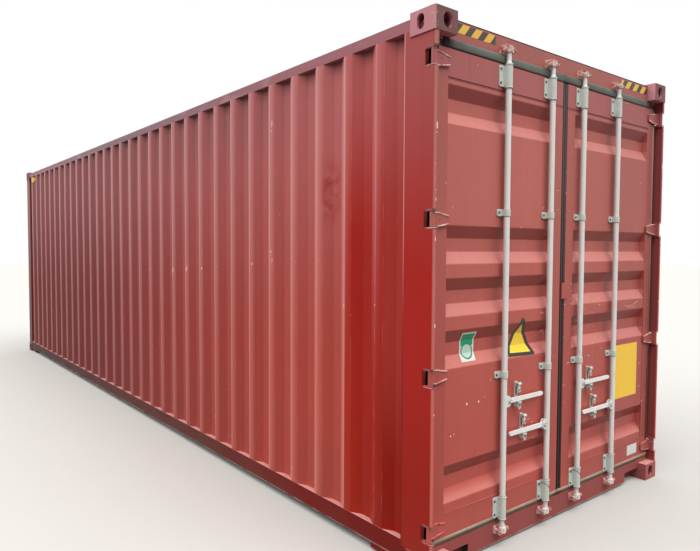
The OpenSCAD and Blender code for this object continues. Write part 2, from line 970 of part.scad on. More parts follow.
// A cam with its nose towards the handle and a short nose ahead.
module cam(dir) {
    linear_extrude(cam_h, center = true) {
        circle(rod_r + 2);
        translate([-6, min(0, dir * cam_reach)])
            square([18, cam_reach]);
        translate([0, -9])
            square([rod_r + 4, 18]);
    }
}

// One lock rod: tube with a neck at each end, cams, collars and its handle's fork.
module lock_rod(i) {
    d = handle_dir[i];
    ear = bar_t / 2 + 0.3;
    ear_t = 6;
    seat = 0.3;
    low = bearing_low_z - bearing_h / 2 - seat - collar_h;
    high = bearing_top_z + bearing_h / 2 + seat + collar_h;
    color(light_grey)
        translate([rod_x, rod_y[i], 0]) {
            difference() {
                union() {
                    translate([0, 0, cam_z0])
                        cylinder(r = neck_r, h = cam_z1 - cam_z0);
                    translate([0, 0, low])
                        cylinder(r = rod_r, h = high - low);
                    for (z = [bearing_low_z, bearing_top_z])
                        for (s = [-1, 1])
                            translate([0, 0, z + s * (bearing_h / 2 + seat + collar_h / 2)])
                                cylinder(r = collar_r, h = collar_h, center = true);
                    translate([0, 0, low - cone_h])
                        cylinder(r1 = neck_r, r2 = rod_r, h = cone_h);
                    translate([0, 0, high])
                        cylinder(r1 = rod_r, r2 = neck_r, h = cone_h);
                }
                translate([0, 0, low + collar_h])
                    cylinder(r = rod_r - rod_wall, h = high - low - 2 * collar_h);
            }
            translate([0, 0, cam_z0])
                cam(d);
            translate([0, 0, cam_z1])
                cam(d);
            translate([0, 0, handle_z[i]])
                for (s = [-1, 1])
                    translate([s * (ear + ear_t / 2) - ear_t / 2, 0, 0])
                        rotate([90, 0, 90])
                            linear_extrude(ear_t)
                                polygon([[d * (rod_r - 6), -fork_h / 2], [d * pivot_y, -fork_h / 2],
                                    [d * (pivot_y + 14), -fork_h / 4],
                                    [d * (pivot_y + 14), fork_h / 4],
                                    [d * pivot_y, fork_h / 2], [d * (rod_r - 6), fork_h / 2]]);
            translate([0, d * pivot_y, handle_z[i]])
                rotate([0, 90, 0])
                    cylinder(r = pivot_r, h = 2 * (ear + ear_t) + 4, center = true);
        }
}

module lock_rod_1() {
    lock_rod(0);
}

module lock_rod_2() {
    lock_rod(1);
}

module lock_rod_3() {
    lock_rod(2);
}

module lock_rod_4() {
    lock_rod(3);
}

// One handle: a flat bar with a round root on the pivot, slimmer beyond its catch.
module handle(i) {
    d = handle_dir[i];
    tip = handle_reach - bar_tip_h / 2;
    waist = catch_off[i] + catch_w / 2 + 8;
    color(light_grey)
        translate([rod_x - bar_t / 2, rod_y[i], handle_z[i]])
            difference() {
                rotate([90, 0, 90])
                    linear_extrude(bar_t) {
                        translate([d * pivot_y, 0])
                            circle(bar_h / 2);
                        polygon([[d * pivot_y, -bar_h / 2], [d * waist, -bar_h / 2],
                            [d * (waist + 24), -bar_tip_h / 2], [d * tip, -bar_tip_h / 2],
                            [d * tip, bar_tip_h / 2], [d * (waist + 24), bar_tip_h / 2],
                            [d * waist, bar_h / 2], [d * pivot_y, bar_h / 2]]);
                        translate([d * tip, 0])
                            circle(bar_tip_h / 2);
                    }
                translate([-eps, d * pivot_y, 0])
                    rotate([0, 90, 0])
                        cylinder(r = pivot_r + run_gap, h = bar_t + 2 * eps);
            }
}

module handle_1() {
    handle(0);
}

module handle_2() {
    handle(1);
}

module handle_3() {
    handle(2);
}

module handle_4() {
    handle(3);
}

bar_gap = 5;
flap_pin_r = 4;
flap_knuckle_r = 8;

// A catch: plate on the leaf, shelf under the bar, a ring below and two ears above.
module catch_body(i) {
    plate = 5;
    ear = 4;
    ring_r = 13;
    shelf = bar_h / 2 + bar_gap;
    ring_z = -shelf - 22;
    out = rod_out + bar_t / 2 + 6;
    translate([door_x, rod_y[i] + handle_dir[i] * catch_off[i], handle_z[i]]) {
        translate([-sheet_t, 0, 0])
            rotate([90, 0, 90])
                linear_extrude(plate + sheet_t) {
                    translate([-catch_w / 2, ring_z])
                        square([catch_w, flap_pin - ring_z]);
                    for (z = [ring_z, flap_pin])
                        translate([0, z])
                            circle(catch_w / 2);
                }
        block([0, -catch_w / 2, -shelf - 8], [out, catch_w / 2, -shelf]);
        difference() {
            union() {
                block([rod_out - 3, -ring_r, ring_z], [rod_out + 3, ring_r, -shelf - 5]);
                translate([rod_out, 0, ring_z])
                    rotate([0, 90, 0])
                        cylinder(r = ring_r, h = 6, center = true);
            }
            translate([rod_out, 0, ring_z])
                rotate([0, 90, 0])
                    cylinder(r = ring_r / 2, h = 8, center = true);
        }
        for (s = [-1, 1])
            translate([0, s * (catch_w - ear) / 2 + ear / 2, 0])
                rotate([90, 0, 0])
                    linear_extrude(ear) {
                        translate([rod_out, flap_pin])
                            circle(10);
                        translate([0, flap_pin - 10])
                            square([rod_out, 20]);
                    }
        translate([rod_out, 0, flap_pin])
            rotate([90, 0, 0])
                cylinder(r = flap_pin_r, h = catch_w + 6, center = true);
    }
}

module handle_catches_left() {
    color(grey_green) {
        catch_body(0);
        catch_body(1);
    }
}

module handle_catches_right() {
    color(grey_green) {
        catch_body(2);
        catch_body(3);
    }
}

// The flap of a catch, hanging from its pin, with a round end and a hole for a seal.
module catch_flap(i) {
    w = catch_w - 9;
    low = flap_gap - flap_pin;
    color(light_grey)
        translate([rod_x, rod_y[i] + handle_dir[i] * catch_off[i], handle_z[i] + flap_pin])
            difference() {
                union() {
                    rotate([90, 0, 0])
                        cylinder(r = flap_knuckle_r, h = w, center = true);
                    block([-3, -w / 2, low + w / 2], [3, w / 2, 0]);
                    translate([0, 0, low + w / 2])
                        rotate([0, 90, 0])
                            cylinder(r = w / 2, h = 6, center = true);
                }
                rotate([90, 0, 0])
                    cylinder(r = flap_pin_r + run_gap, h = w + 2 * eps, center = true);
                translate([0, 0, low + w / 2])
                    rotate([0, 90, 0])
                        cylinder(r = w / 4, h = 8, center = true);
            }
}

module catch_flap_1() {
    catch_flap(0);
}

module catch_flap_2() {
    catch_flap(1);
}

module catch_flap_3() {
    catch_flap(2);
}

module catch_flap_4() {
    catch_flap(3);
}

castings_door_top();
castings_door_bottom();
castings_front_top();
castings_front_bottom();
posts_door();
posts_front();
side_wall_left();
side_wall_right();
front_wall();
roof();
top_rails();
bottom_rails();
front_top_rail();
front_bottom_rail();
door_header();
door_sill();
floor();
cross_members();
hinge_lugs();
cam_keepers();
door_frame_left();
door_frame_right();
door_panel_left();
door_panel_right();
door_seal_left();
door_seal_right();
hinge_blades_left();
hinge_blades_right();
rod_bearings_left();
rod_bearings_right();
handle_catches_left();
handle_catches_right();
lock_rod_1();
lock_rod_2();
lock_rod_3();
lock_rod_4();
handle_1();
handle_2();
handle_3();
handle_4();
catch_flap_1();
catch_flap_2();
catch_flap_3();
catch_flap_4();
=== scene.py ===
"""Looks for a freight container: paint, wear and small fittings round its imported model."""

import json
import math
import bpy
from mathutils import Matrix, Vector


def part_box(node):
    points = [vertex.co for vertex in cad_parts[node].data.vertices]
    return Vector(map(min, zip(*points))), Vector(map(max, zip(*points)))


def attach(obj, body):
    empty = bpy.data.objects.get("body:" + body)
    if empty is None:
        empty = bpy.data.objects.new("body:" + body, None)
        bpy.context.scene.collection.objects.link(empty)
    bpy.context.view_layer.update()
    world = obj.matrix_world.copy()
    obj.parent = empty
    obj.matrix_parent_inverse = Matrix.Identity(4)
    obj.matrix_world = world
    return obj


bl_info = {
    "name": "Freight container looks",
    "version": (1, 0, 0),
    "blender": (4, 5, 0),
    "location": "View3D > Sidebar > Container",
    "description": "Paint, wear and small fittings for a steel freight container",
    "category": "Object",
}

import bmesh
import bpy
from bpy.props import FloatProperty, FloatVectorProperty, PointerProperty
from mathutils import Matrix, Vector

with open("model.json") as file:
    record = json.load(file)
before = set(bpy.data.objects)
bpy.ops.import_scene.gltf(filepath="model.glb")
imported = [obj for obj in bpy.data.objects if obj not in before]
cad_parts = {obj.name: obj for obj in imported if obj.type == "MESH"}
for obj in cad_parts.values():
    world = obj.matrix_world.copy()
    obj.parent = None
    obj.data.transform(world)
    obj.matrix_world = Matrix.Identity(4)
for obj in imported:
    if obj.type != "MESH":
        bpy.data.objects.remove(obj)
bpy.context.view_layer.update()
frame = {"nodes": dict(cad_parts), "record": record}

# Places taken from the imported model, in metres.
PIVOT = {j["name"]: Vector(j["pos_m"]) for j in frame["record"]["behaviour"]["joints"]}
PANEL_LOW, PANEL_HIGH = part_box("door_panel_right")
POST_LOW, POST_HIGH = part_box("posts_door")
WALL_LOW, WALL_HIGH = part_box("side_wall_left")
HEADER_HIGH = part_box("door_header")[1]
RAIL_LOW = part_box("top_rails")[0]
DOOR_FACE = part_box("door_frame_left")[1].x
SEAL_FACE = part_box("door_seal_right")[1].x
SHEET = 0.002
CAM_HEIGHTS = (0.098, 2.802)
BEARING_HEIGHTS = (0.228, 2.658)
GUIDE_HEIGHTS = (0.992, 1.905)
HINGE_HEIGHTS = (0.240, 1.045, 1.850, 2.655)
ROD_X = PIVOT["rod_1_turn"].x
ROD_Y = {rod: PIVOT[f"rod_{rod}_turn"].y for rod in (1, 2, 3, 4)}
PIN_Y = PIVOT["door_right_hinge"].y

# Corrugation of the side walls.
CREST_PITCH = 0.278
CREST_FLAT = 0.072
CREST_SLOPE = 0.068
CREST_FIRST = POST_LOW.x - 0.152
WALL_OUT = -WALL_LOW.y
CREST_DEPTH = WALL_HIGH.y - WALL_LOW.y - SHEET

# Corrugation of the front wall, with an outer flat in the middle.
FRONT_PITCH = 0.250
FRONT_FLAT = 0.110

# Pressed recesses of the door panels.
RECESS_HEIGHTS = (0.456, 1.171, 1.447, 1.723, 2.447)
RECESS_HALF = 0.103
RECESS_RUN = 0.068
RECESS_END = 0.016
RECESS_DEPTH = 0.034

# The last sheet of each side wall was painted afresh, from here to the doors.
FRESH_FROM = 3.850

# Faces of the frame and castings that their paints follow.
TOP = 2.896
CASTING_FRONT = 4.5625
CASTING_TALL = 0.118
CASTING_STEP = 1.212
HEADER_TOP = 2.8815
LIP_INSIDE = 1.206
SILL_TREAD = 0.1415

# Which side of the middle plane each leaf is on, and the rods it carries.
HAND = {-1: "left", 1: "right"}
RODS_OF = {-1: (1, 2), 1: (3, 4)}
ROD_BODY = {rod: f"door_{HAND[side]}" for side in HAND for rod in RODS_OF[side]}
RODS = (1, 2, 3, 4)
HANDLE_TURN = {1: 1, 2: -1, 3: 1, 4: -1}

# Bolts of a bearing, from its middle and its rod's axis.
BOLT_RISE = 0.038
BOLT_ACROSS = (-0.046, 0.0275)
GUIDE_BOLT_ACROSS = -0.045

# Heights of the seals' lips at the header and the sill, and of the painted shade in the sill lips'
# gaps by the rods.
HEADER_LIP = 2.7515
SILL_LIP = 0.1705
NOTCH_SHADE_HEIGHT = 0.166

# Chips: places on the doors as (y, z, radius), others as (place, height, half sizes).
CHIP_THICK = 0.0005
DOOR_CHIPS = {
    -1: [(-0.887, 0.864, 0.0070), (-0.789, 0.862, 0.0065), (-1.014, 0.710, 0.0050),
         (-0.988, 0.716, 0.0035), (-0.735, 0.880, 0.0025), (-1.020, 1.920, 0.0030)],
    1: [(0.300, 0.905, 0.0030), (0.980, 2.180, 0.0030), (0.760, 1.900, 0.0025)],
}
DOOR_SCRATCHES = (
    [(0.790, 1.306), (0.830, 1.298), (0.905, 1.304), (0.985, 1.330)],
    [(0.840, 1.290), (0.900, 1.286), (0.960, 1.292)],
)
LIP_CHIPS = (
    (1.197, 2.313, 0.0050, 0.0200), (1.200, 2.278, 0.0026, 0.0050),
    (1.200, 1.948, 0.0032, 0.0080), (1.201, 1.752, 0.0030, 0.0120),
    (1.199, 1.318, 0.0040, 0.0110), (1.199, 0.866, 0.0030, 0.0060),
)
WALL_CHIPS = (
    (1.346, 1.500, 0.016, 0.026), (1.336, 1.462, 0.007, 0.011), (1.638, 1.518, 0.018, 0.020),
    (1.650, 1.540, 0.007, 0.012), (1.936, 1.530, 0.013, 0.013), (2.766, 1.586, 0.010, 0.010),
    (2.746, 1.593, 0.006, 0.005), (3.040, 1.620, 0.008, 0.013), (3.030, 1.601, 0.004, 0.006),
    (3.043, 1.586, 0.003, 0.004), (3.036, 1.648, 0.003, 0.006), (3.026, 1.676, 0.008, 0.011),
    (3.040, 2.548, 0.008, 0.026), (3.036, 2.498, 0.005, 0.012), (3.331, 1.612, 0.003, 0.006),
    (3.600, 1.632, 0.005, 0.004), (0.796, 1.490, 0.006, 0.008), (2.220, 1.552, 0.004, 0.006),
)
LIP_CHIP_SHAPE = [(-1.0, -0.8), (0.6, -1.0), (1.0, 0.2), (0.3, 1.0), (-0.8, 0.5)]
WALL_CHIP_SHAPE = [(-1.0, -0.7), (0.2, -1.0), (1.0, 0.1), (0.5, 1.0), (-0.4, 0.6)]

# Rays that see the plain background instead of the lit floor and sky.
BACKGROUND_RAYS = ("Is Camera Ray", "Is Glossy Ray", "Is Transmission Ray")


def tone(red, green, blue):
    """A colour given as it looks on a screen, 0 to 255, made linear."""
    shades = [value / 255 for value in (red, green, blue)]
    return [s / 12.92 if s <= 0.04045 else ((s + 0.055) / 1.055) ** 2.4 for s in shades]


class CameraSettings(bpy.types.PropertyGroup):
    """Where the picture is taken from"""
    place: FloatVectorProperty(name="Place", description="Where the camera stands",
                               default=(6.689, -3.455, 1.705), subtype="TRANSLATION")
    heading: FloatProperty(name="Heading", description="Turn from +X towards +Y",
                           default=math.radians(141.218), subtype="ANGLE")
    tilt: FloatProperty(name="Tilt", description="How far the view points down",
                        default=math.radians(2.565), subtype="ANGLE")
    roll: FloatProperty(name="Roll", description="Turn of the view about its middle",
                        default=math.radians(0.265), subtype="ANGLE")
    lens: FloatProperty(name="Lens", description="Focal length on a 36 mm sensor",
                        default=31.77, unit="CAMERA")


class StageSettings(bpy.types.PropertyGroup):
    """Floor and light"""
    floor_size: FloatProperty(name="Floor size", description="Half the floor's side",
                              default=60.0, unit="LENGTH")
    horizon: FloatProperty(name="Horizon", description="Brightness of the sky low down",
                           default=0.28)
    zenith: FloatProperty(name="Zenith", description="Brightness of the sky overhead",
                          default=1.38)
    lamp: FloatProperty(name="Lamp", description="Strength of the soft key lamp", default=1.84)
    fill: FloatProperty(name="Fill", description="Strength of the soft lamp before the doors",
                        default=2.02)


class PaintSettings(bpy.types.PropertyGroup):
    """Colours of the finishes"""
    wall_high: FloatVectorProperty(name="Walls, upper", description="Faded paint under the roof",
                                   default=tone(174, 108, 111), subtype="COLOR")
    wall_low: FloatVectorProperty(name="Walls, lower", description="Paint low at the front end",
                                  default=tone(136, 67, 68), subtype="COLOR")
    wall_near: FloatVectorProperty(name="Walls, near", description="Paint in the half by the doors",
                                   default=tone(176, 74, 65), subtype="COLOR")
    wall_fresh: FloatVectorProperty(name="Walls, fresh", description="Fresh paint beside the posts",
                                    default=tone(172, 36, 29), subtype="COLOR")
    door_high: FloatVectorProperty(name="Doors, upper", description="Chalky paint of the doors",
                                   default=tone(193, 108, 99), subtype="COLOR")
    door_low: FloatVectorProperty(name="Doors, lower", description="Paint low on the doors",
                                  default=tone(190, 90, 81), subtype="COLOR")
    under: FloatVectorProperty(name="Underframe", description="Dark paint of the underframe",
                               default=tone(92, 44, 40), subtype="COLOR")
    gear: FloatVectorProperty(name="Rods", description="Galvanised rods and handles",
                              default=tone(230, 231, 228), subtype="COLOR")
    bracket: FloatVectorProperty(name="Bearings", description="Pale paint of the bearings",
                                 default=tone(208, 216, 208), subtype="COLOR")
    rubber: FloatVectorProperty(name="Seals", description="Weathered rubber of the door seals",
                                default=tone(104, 92, 80), subtype="COLOR")


class FittingSettings(bpy.types.PropertyGroup):
    """Sizes of the small fittings"""
    bolt: FloatProperty(name="Bolt", description="Width of a bolt head across its flats",
                        default=0.010, unit="LENGTH")
    weld: FloatProperty(name="Weld", description="Radius of a weld bead",
                        default=0.005, unit="LENGTH")
    tape: FloatProperty(name="Tape", description="Thickness of tape and stickers",
                        default=0.0006, unit="LENGTH")


# Shader maths.


class Shade:
    """A value in a material. Arithmetic on it adds Math nodes."""

    def __init__(self, finish, socket):
        self.finish = finish
        self.socket = socket

    def _math(self, operation, *values):
        return self.finish.node("ShaderNodeMath", {"operation": operation}, list(values))

    def __add__(self, other):
        return self._math("ADD", self, other)

    def __radd__(self, other):
        return self._math("ADD", other, self)

    def __sub__(self, other):
        return self._math("SUBTRACT", self, other)

    def __rsub__(self, other):
        return self._math("SUBTRACT", other, self)

    def __mul__(self, other):
        return self._math("MULTIPLY", self, other)

    def __rmul__(self, other):
        return self._math("MULTIPLY", other, self)

    def __truediv__(self, other):
        return self._math("DIVIDE", self, other)

    def __neg__(self):
        return self._math("MULTIPLY", self, -1.0)

    def __abs__(self):
        return self._math("ABSOLUTE", self)

    def wrap(self, length):
        """The value, starting again from 0 at each length."""
        return self._math("FLOORED_MODULO", self, length)

    def least(self, other):
        """The smaller of two values."""
        return self._math("MINIMUM", self, other)

    def most(self, other):
        """The larger of two values."""
        return self._math("MAXIMUM", self, other)

    def rise(self, low, high):
        """0 below low, 1 above high, and a smooth step between them."""
        settings = {"interpolation_type": "SMOOTHSTEP"}
        if low < high:
            return self.finish.node("ShaderNodeMapRange", settings, [self, low, high, 0.0, 1.0])
        return self.finish.node("ShaderNodeMapRange", settings, [self, high, low, 1.0, 0.0])

    def between(self, starts, full, falls, ends):
        """0 outside starts and ends, 1 from full to falls, with smooth steps."""
        return self.rise(starts, full) * self.rise(ends, falls)


class Finish:
    """A material made from nodes."""

    def __init__(self, name, metallic=0.0, specular=0.5):
        self.material = bpy.data.materials.new(name)
        self.material.use_nodes = True
        self.tree = self.material.node_tree
        self.shader = self.tree.nodes["Principled BSDF"]
        self.shader.inputs["Metallic"].default_value = metallic
        self.shader.inputs["Specular IOR Level"].default_value = specular
        self.place = self.node("ShaderNodeTexCoord", {}, [], "Object")
        self.x = self.node("ShaderNodeSeparateXYZ", {}, [self.place], "X")
        self.y = self.node("ShaderNodeSeparateXYZ", {}, [self.place], "Y")
        self.z = self.node("ShaderNodeSeparateXYZ", {}, [self.place], "Z")

    def node(self, kind, settings, values, output=0):
        """Adds a node, with its settings and then its values or links, and returns an output."""
        made = self.tree.nodes.new(kind)
        for key, value in settings.items():
            setattr(made, key, value)
        pairs = values.items() if isinstance(values, dict) else enumerate(values)
        for key, value in pairs:
            if isinstance(value, Shade):
                self.tree.links.new(value.socket, made.inputs[key])
            elif value is not None:
                socket = made.inputs[key]
                bare = socket.type == "RGBA" and len(value) == 3
                socket.default_value = (*value, 1.0) if bare else value
        return Shade(self, made.outputs[output])

    def noise(self, scale, detail=3.0, stretch=(1, 1, 1), rough=0.55, shift=(0, 0, 0)):
        """Cloudy noise from 0 to 1, with scale cells to a metre before it is stretched."""
        mapped = self.node("ShaderNodeMapping", {}, {"Vector": self.place, "Location": shift,
                                                     "Scale": stretch})
        values = {"Vector": mapped, "Scale": scale, "Detail": detail, "Roughness": rough}
        return self.node("ShaderNodeTexNoise", {}, values)

    def spots(self, scale, size, shift=(0, 0, 0)):
        """Scattered round spots: 1 inside, 0 outside."""
        mapped = self.node("ShaderNodeMapping", {}, {"Vector": self.place, "Location": shift})
        values = {"Vector": mapped, "Scale": scale, "Randomness": 1.0}
        return self.node("ShaderNodeTexVoronoi", {}, values).rise(size, size * 0.6)

    def blend(self, first, second, share):
        """A colour between two colours."""
        return self.node("ShaderNodeMix", {"data_type": "RGBA"}, {0: share, 6: first, 7: second}, 2)

    def brighten(self, colour, factor):
        """A colour times a value."""
        grey = self.node("ShaderNodeCombineXYZ", {}, [factor, factor, factor])
        settings = {"data_type": "RGBA", "blend_type": "MULTIPLY"}
        return self.node("ShaderNodeMix", settings, {0: 1.0, 6: colour, 7: grey}, 2)

    def set(self, colour=None, rough=None, height=None, depth=0.001, metal=None):
        """Joins the finish's parts to the shader."""
        parts = {"Base Color": colour, "Roughness": rough, "Metallic": metal}
        for name, value in parts.items():
            if isinstance(value, Shade):
                self.tree.links.new(value.socket, self.shader.inputs[name])
            elif value is not None:
                self.shader.inputs[name].default_value = value
        if height is not None:
            values = {"Strength": 1.0, "Distance": depth, "Height": height}
            bump = self.node("ShaderNodeBump", {}, values)
            self.tree.links.new(bump.socket, self.shader.inputs["Normal"])
        return self.material


MADE = {}


def finish_nodes(material, *names):
    """Gives CAD nodes a material."""
    for name in names:
        for slot in frame["nodes"][name].material_slots:
            slot.material = material


def weather(paint, colour, dirt_top=0.9, chips=0.5):
    """Adds to a painted colour its fading, rain streaks, low dirt and small chips."""
    cloud = paint.noise(0.9, 2.0)
    mottle = paint.noise(11.0, 4.0)
    streak = paint.noise(7.0, 3.0, stretch=(2.2, 2.2, 0.10))
    faded = paint.brighten(colour, 0.82 + cloud * 0.16 + mottle * 0.08 + streak * 0.10)
    soil = paint.z.rise(dirt_top, 0.05) * paint.noise(3.0, 4.0).rise(0.35, 0.75)
    faded = paint.blend(faded, tone(112, 84, 70), soil * 0.22)
    rain = paint.noise(16.0, 2.0, stretch=(2.0, 2.0, 0.05), shift=(3, 1, 2)).rise(0.60, 0.78)
    faded = paint.blend(faded, tone(96, 60, 52), rain * 0.15)
    dots = paint.spots(5.5, 0.03, shift=(0.3, 0.7, 0.1)) * chips
    faded = paint.blend(faded, tone(226, 196, 188), dots)
    rust = paint.spots(3.1, 0.05, shift=(1.3, 0.2, 0.6)) * mottle.rise(0.5, 0.62) * chips
    faded = paint.blend(faded, tone(74, 36, 26), rust)
    return faded, mottle


def skin(paint, mottle):
    """Height of a sprayed steel sheet: slow dents under a fine orange peel."""
    dents = paint.noise(2.2, 1.0, stretch=(1, 1, 0.6), shift=(7, 3, 1))
    peel = paint.noise(160.0, 2.0)
    return dents * 3.0 + mottle * 0.35 + peel * 0.08


def wear_crests(paint, colour, along, flat, pale, worn):
    """Pales the outer flats of a corrugated wall, adds a painted highlight along one bend of each
    and painted light on the slope past it, and wears their edges to bare spots.
    """
    crest = along.between(0.0, flat, flat, flat + 0.003)
    # A painted highlight along the bend at the end of each outer flat (ridge) and painted light on
    # the slope past it (lit); worn sets their strength as well as the wear's.
    ridge = abs(along - flat + 0.002).rise(0.012, 0.002)
    lit = along.between(flat, flat + 0.004, flat + 0.050, flat + 0.066)
    colour = paint.blend(colour, pale, crest * worn * 0.7)
    colour = paint.blend(colour, pale, (ridge + lit * 0.7).least(1.0) * (worn + 0.12))
    edge = abs(along).rise(0.005, 0.001)
    rubbed = (edge + ridge * 0.6) * paint.noise(30.0, 4.0, stretch=(1, 1, 0.35)).rise(0.46, 0.66)
    colour = paint.blend(colour, tone(206, 140, 134), rubbed * worn)
    bare = paint.noise(55.0, 3.0, stretch=(1, 1, 0.5), shift=(5, 5, 5)).rise(0.66, 0.72)
    bare = bare * paint.noise(1.3, 1.0, shift=(8, 2, 1)).rise(0.50, 0.62)
    return paint.blend(colour, tone(240, 216, 208), (edge + ridge).least(1.0) * bare * 0.8)


def late_paint(paint, colours):
    """The last sheet: deep red low down, rose under the rail, and painted light in a pale strip by
    the post.
    """
    deep = paint.blend(tone(172, 42, 28), tone(148, 24, 12), paint.x.rise(3.86, 4.22))
    late = paint.blend(deep, colours.wall_fresh, paint.z.rise(0.4, 1.6) * 0.7)
    # Painted light: a paler strip by the post, lifting the shade that falls there.
    strip = paint.x.rise(4.17, 4.20) * paint.z.rise(0.3, 1.2)
    late = paint.blend(late, tone(204, 96, 88), strip * 0.22)
    return paint.blend(late, tone(190, 104, 104), paint.z.rise(1.7, 2.85) * 0.78)


def scuffed_inside(paint, colour, depth):
    """Scuffed red on the inner face of a side wall, depth being how far it is pressed in."""
    inside = (WALL_OUT - depth - abs(paint.y)).rise(0.0008, 0.0012)
    rub = paint.noise(5.0, 5.0, stretch=(0.35, 1, 2.5), shift=(6, 1, 3)).rise(0.50, 0.66)
    rub = rub * paint.z.rise(1.9, 1.2)
    worn_red = paint.blend(tone(146, 76, 70), tone(168, 96, 88), paint.noise(3.0, 4.0))
    worn_red = paint.blend(worn_red, tone(186, 150, 138), rub * 0.45)
    return paint.blend(colour, worn_red, inside)


def make_wall_paint(colours):
    """Side walls: greyish rose high and far, deep red on the last sheet, scuffed red inside, with
    painted shade on the slopes facing the doors and in the recesses under the rails, and painted
    highlights on the crests.
    """
    paint = Finish("wall_paint", specular=0.12)
    near = paint.x.rise(-1.6, 3.6)
    fresh = paint.x.rise(FRESH_FROM - 0.002, FRESH_FROM + 0.002)
    lower = paint.blend(colours.wall_low, colours.wall_near, near)
    upper = paint.blend(colours.wall_high, tone(183, 105, 105), near)
    colour = paint.blend(lower, upper, paint.z.rise(0.9, 2.9) * 0.88)
    late = late_paint(paint, colours)
    blot = abs(paint.x - 3.690).rise(0.110, 0.010) * abs(paint.z - 2.030).rise(0.250, 0.020)
    blot = blot * paint.y.rise(0.0, -0.1) * paint.noise(9.0, 3.0).rise(0.30, 0.60)
    colour = paint.brighten(colour, 1.0 + paint.x.rise(2.6, 3.6) * 0.08)
    colour = paint.blend(colour, tone(160, 34, 30), blot * 0.85)
    colour = paint.blend(colour, late, fresh)
    colour, mottle = weather(paint, colour)
    along = (CREST_FIRST - paint.x).wrap(CREST_PITCH)
    # Painted shade on the slopes that face the doors, weaker near them.
    shade = along.rise(CREST_PITCH - CREST_SLOPE - 0.006, CREST_PITCH - CREST_SLOPE + 0.012)
    colour = paint.brighten(colour, 1.0 - shade * (0.17 - near * 0.14))
    pale_low = paint.blend(tone(194, 108, 106), tone(232, 144, 134), near)
    pale_high = paint.blend(tone(222, 168, 170), tone(230, 166, 164), paint.x.rise(2.2, 3.5))
    pale = paint.blend(pale_low, pale_high, paint.z.rise(0.8, 2.6))
    recent = paint.blend(tone(176, 52, 40), tone(232, 152, 150), paint.z.rise(0.8, 2.4))
    pale = paint.blend(pale, recent, fresh)
    # worn also sets the strength of the crests' painted highlight and painted light.
    worn = (paint.z.rise(0.0, 2.2) * 0.2 + 0.40).most(near * 0.5) * (1.0 - fresh * 0.35)
    colour = wear_crests(paint, colour, along, CREST_FLAT, pale, worn)
    depth = ((along - CREST_FLAT) / CREST_SLOPE).least((CREST_PITCH - along) / CREST_SLOPE)
    depth = depth.least(1.0).most(0.0).most(abs(paint.x).rise(4.255, 4.256))
    # Painted shadow under the top rails, in the recesses.
    rail_shadow = paint.z.rise(2.70, RAIL_LOW.z) * depth
    colour = paint.blend(colour, tone(78, 42, 48), rail_shadow * 0.5)
    # Painted shade, greyer and softer, further down the recesses under the rails, away from the
    # doors.
    shade_below_rail = paint.z.rise(2.20, 2.72) * depth * paint.x.rise(3.8, 2.6)
    colour = paint.blend(colour, tone(124, 86, 86), shade_below_rail * 0.40)
    colour = scuffed_inside(paint, colour, depth * CREST_DEPTH)
    return paint.set(colour, 0.34 + mottle * 0.16, skin(paint, mottle), 0.0016)


def make_front_wall_paint(colours):
    """Front wall: like the far ends of the side walls, with worn outer flats."""
    paint = Finish("front_wall_paint", specular=0.12)
    colour = paint.blend(tone(138, 70, 70), colours.wall_high, paint.z.rise(0.8, 2.9) * 0.88)
    colour, mottle = weather(paint, colour)
    along = (paint.y + FRONT_FLAT / 2).wrap(FRONT_PITCH)
    pale = paint.blend(tone(182, 100, 96), tone(222, 158, 152), paint.z.rise(0.3, 2.4))
    # worn also sets the strength of the crests' painted highlight and painted light.
    worn = paint.z.rise(0.0, 2.2) * 0.15 + 0.2
    colour = wear_crests(paint, colour, along, FRONT_FLAT, pale, worn)
    return paint.set(colour, 0.36 + mottle * 0.16, skin(paint, mottle), 0.0016)


def make_rail_paint():
    """Top rails: greyish rose with dull scuffs along their length."""
    paint = Finish("rail_paint", specular=0.18)
    colour = paint.blend(tone(156, 106, 114), tone(142, 108, 118), paint.x.rise(-4.0, -1.0))
    colour = paint.blend(colour, tone(168, 106, 114), paint.x.rise(0.5, 4.2))
    colour, mottle = weather(paint, colour)
    scuff = paint.noise(14.0, 4.0, stretch=(0.25, 1, 1), shift=(1, 1, 4)).rise(0.52, 0.72)
    colour = paint.blend(colour, tone(202, 164, 160), scuff * 0.35)
    return paint.set(colour, 0.42 + mottle * 0.16, skin(paint, mottle), 0.0010)


def make_roof_paint():
    """Roof: the same rose paint under dust and soot that gathers in the low bands."""
    paint = Finish("roof_paint", specular=0.15)
    colour, mottle = weather(paint, tone(132, 76, 74), dirt_top=0.2)
    dust = paint.noise(1.6, 5.0, stretch=(1, 0.6, 1)).rise(0.35, 0.75)
    colour = paint.blend(colour, tone(134, 112, 102), dust * 0.35)
    low = paint.z.rise(2.886, 2.872) * paint.noise(5.0, 5.0, stretch=(1, 0.4, 1)).rise(0.25, 0.65)
    colour = paint.blend(colour, tone(82, 60, 54), low * 0.7)
    rub = paint.noise(18.0, 5.0, stretch=(1, 0.3, 1), shift=(4, 4, 0)).rise(0.56, 0.70)
    colour = paint.blend(colour, tone(170, 126, 118), rub * paint.z.rise(2.878, 2.886) * 0.5)
    return paint.set(colour, 0.5 + mottle * 0.2, skin(paint, mottle), 0.0016)


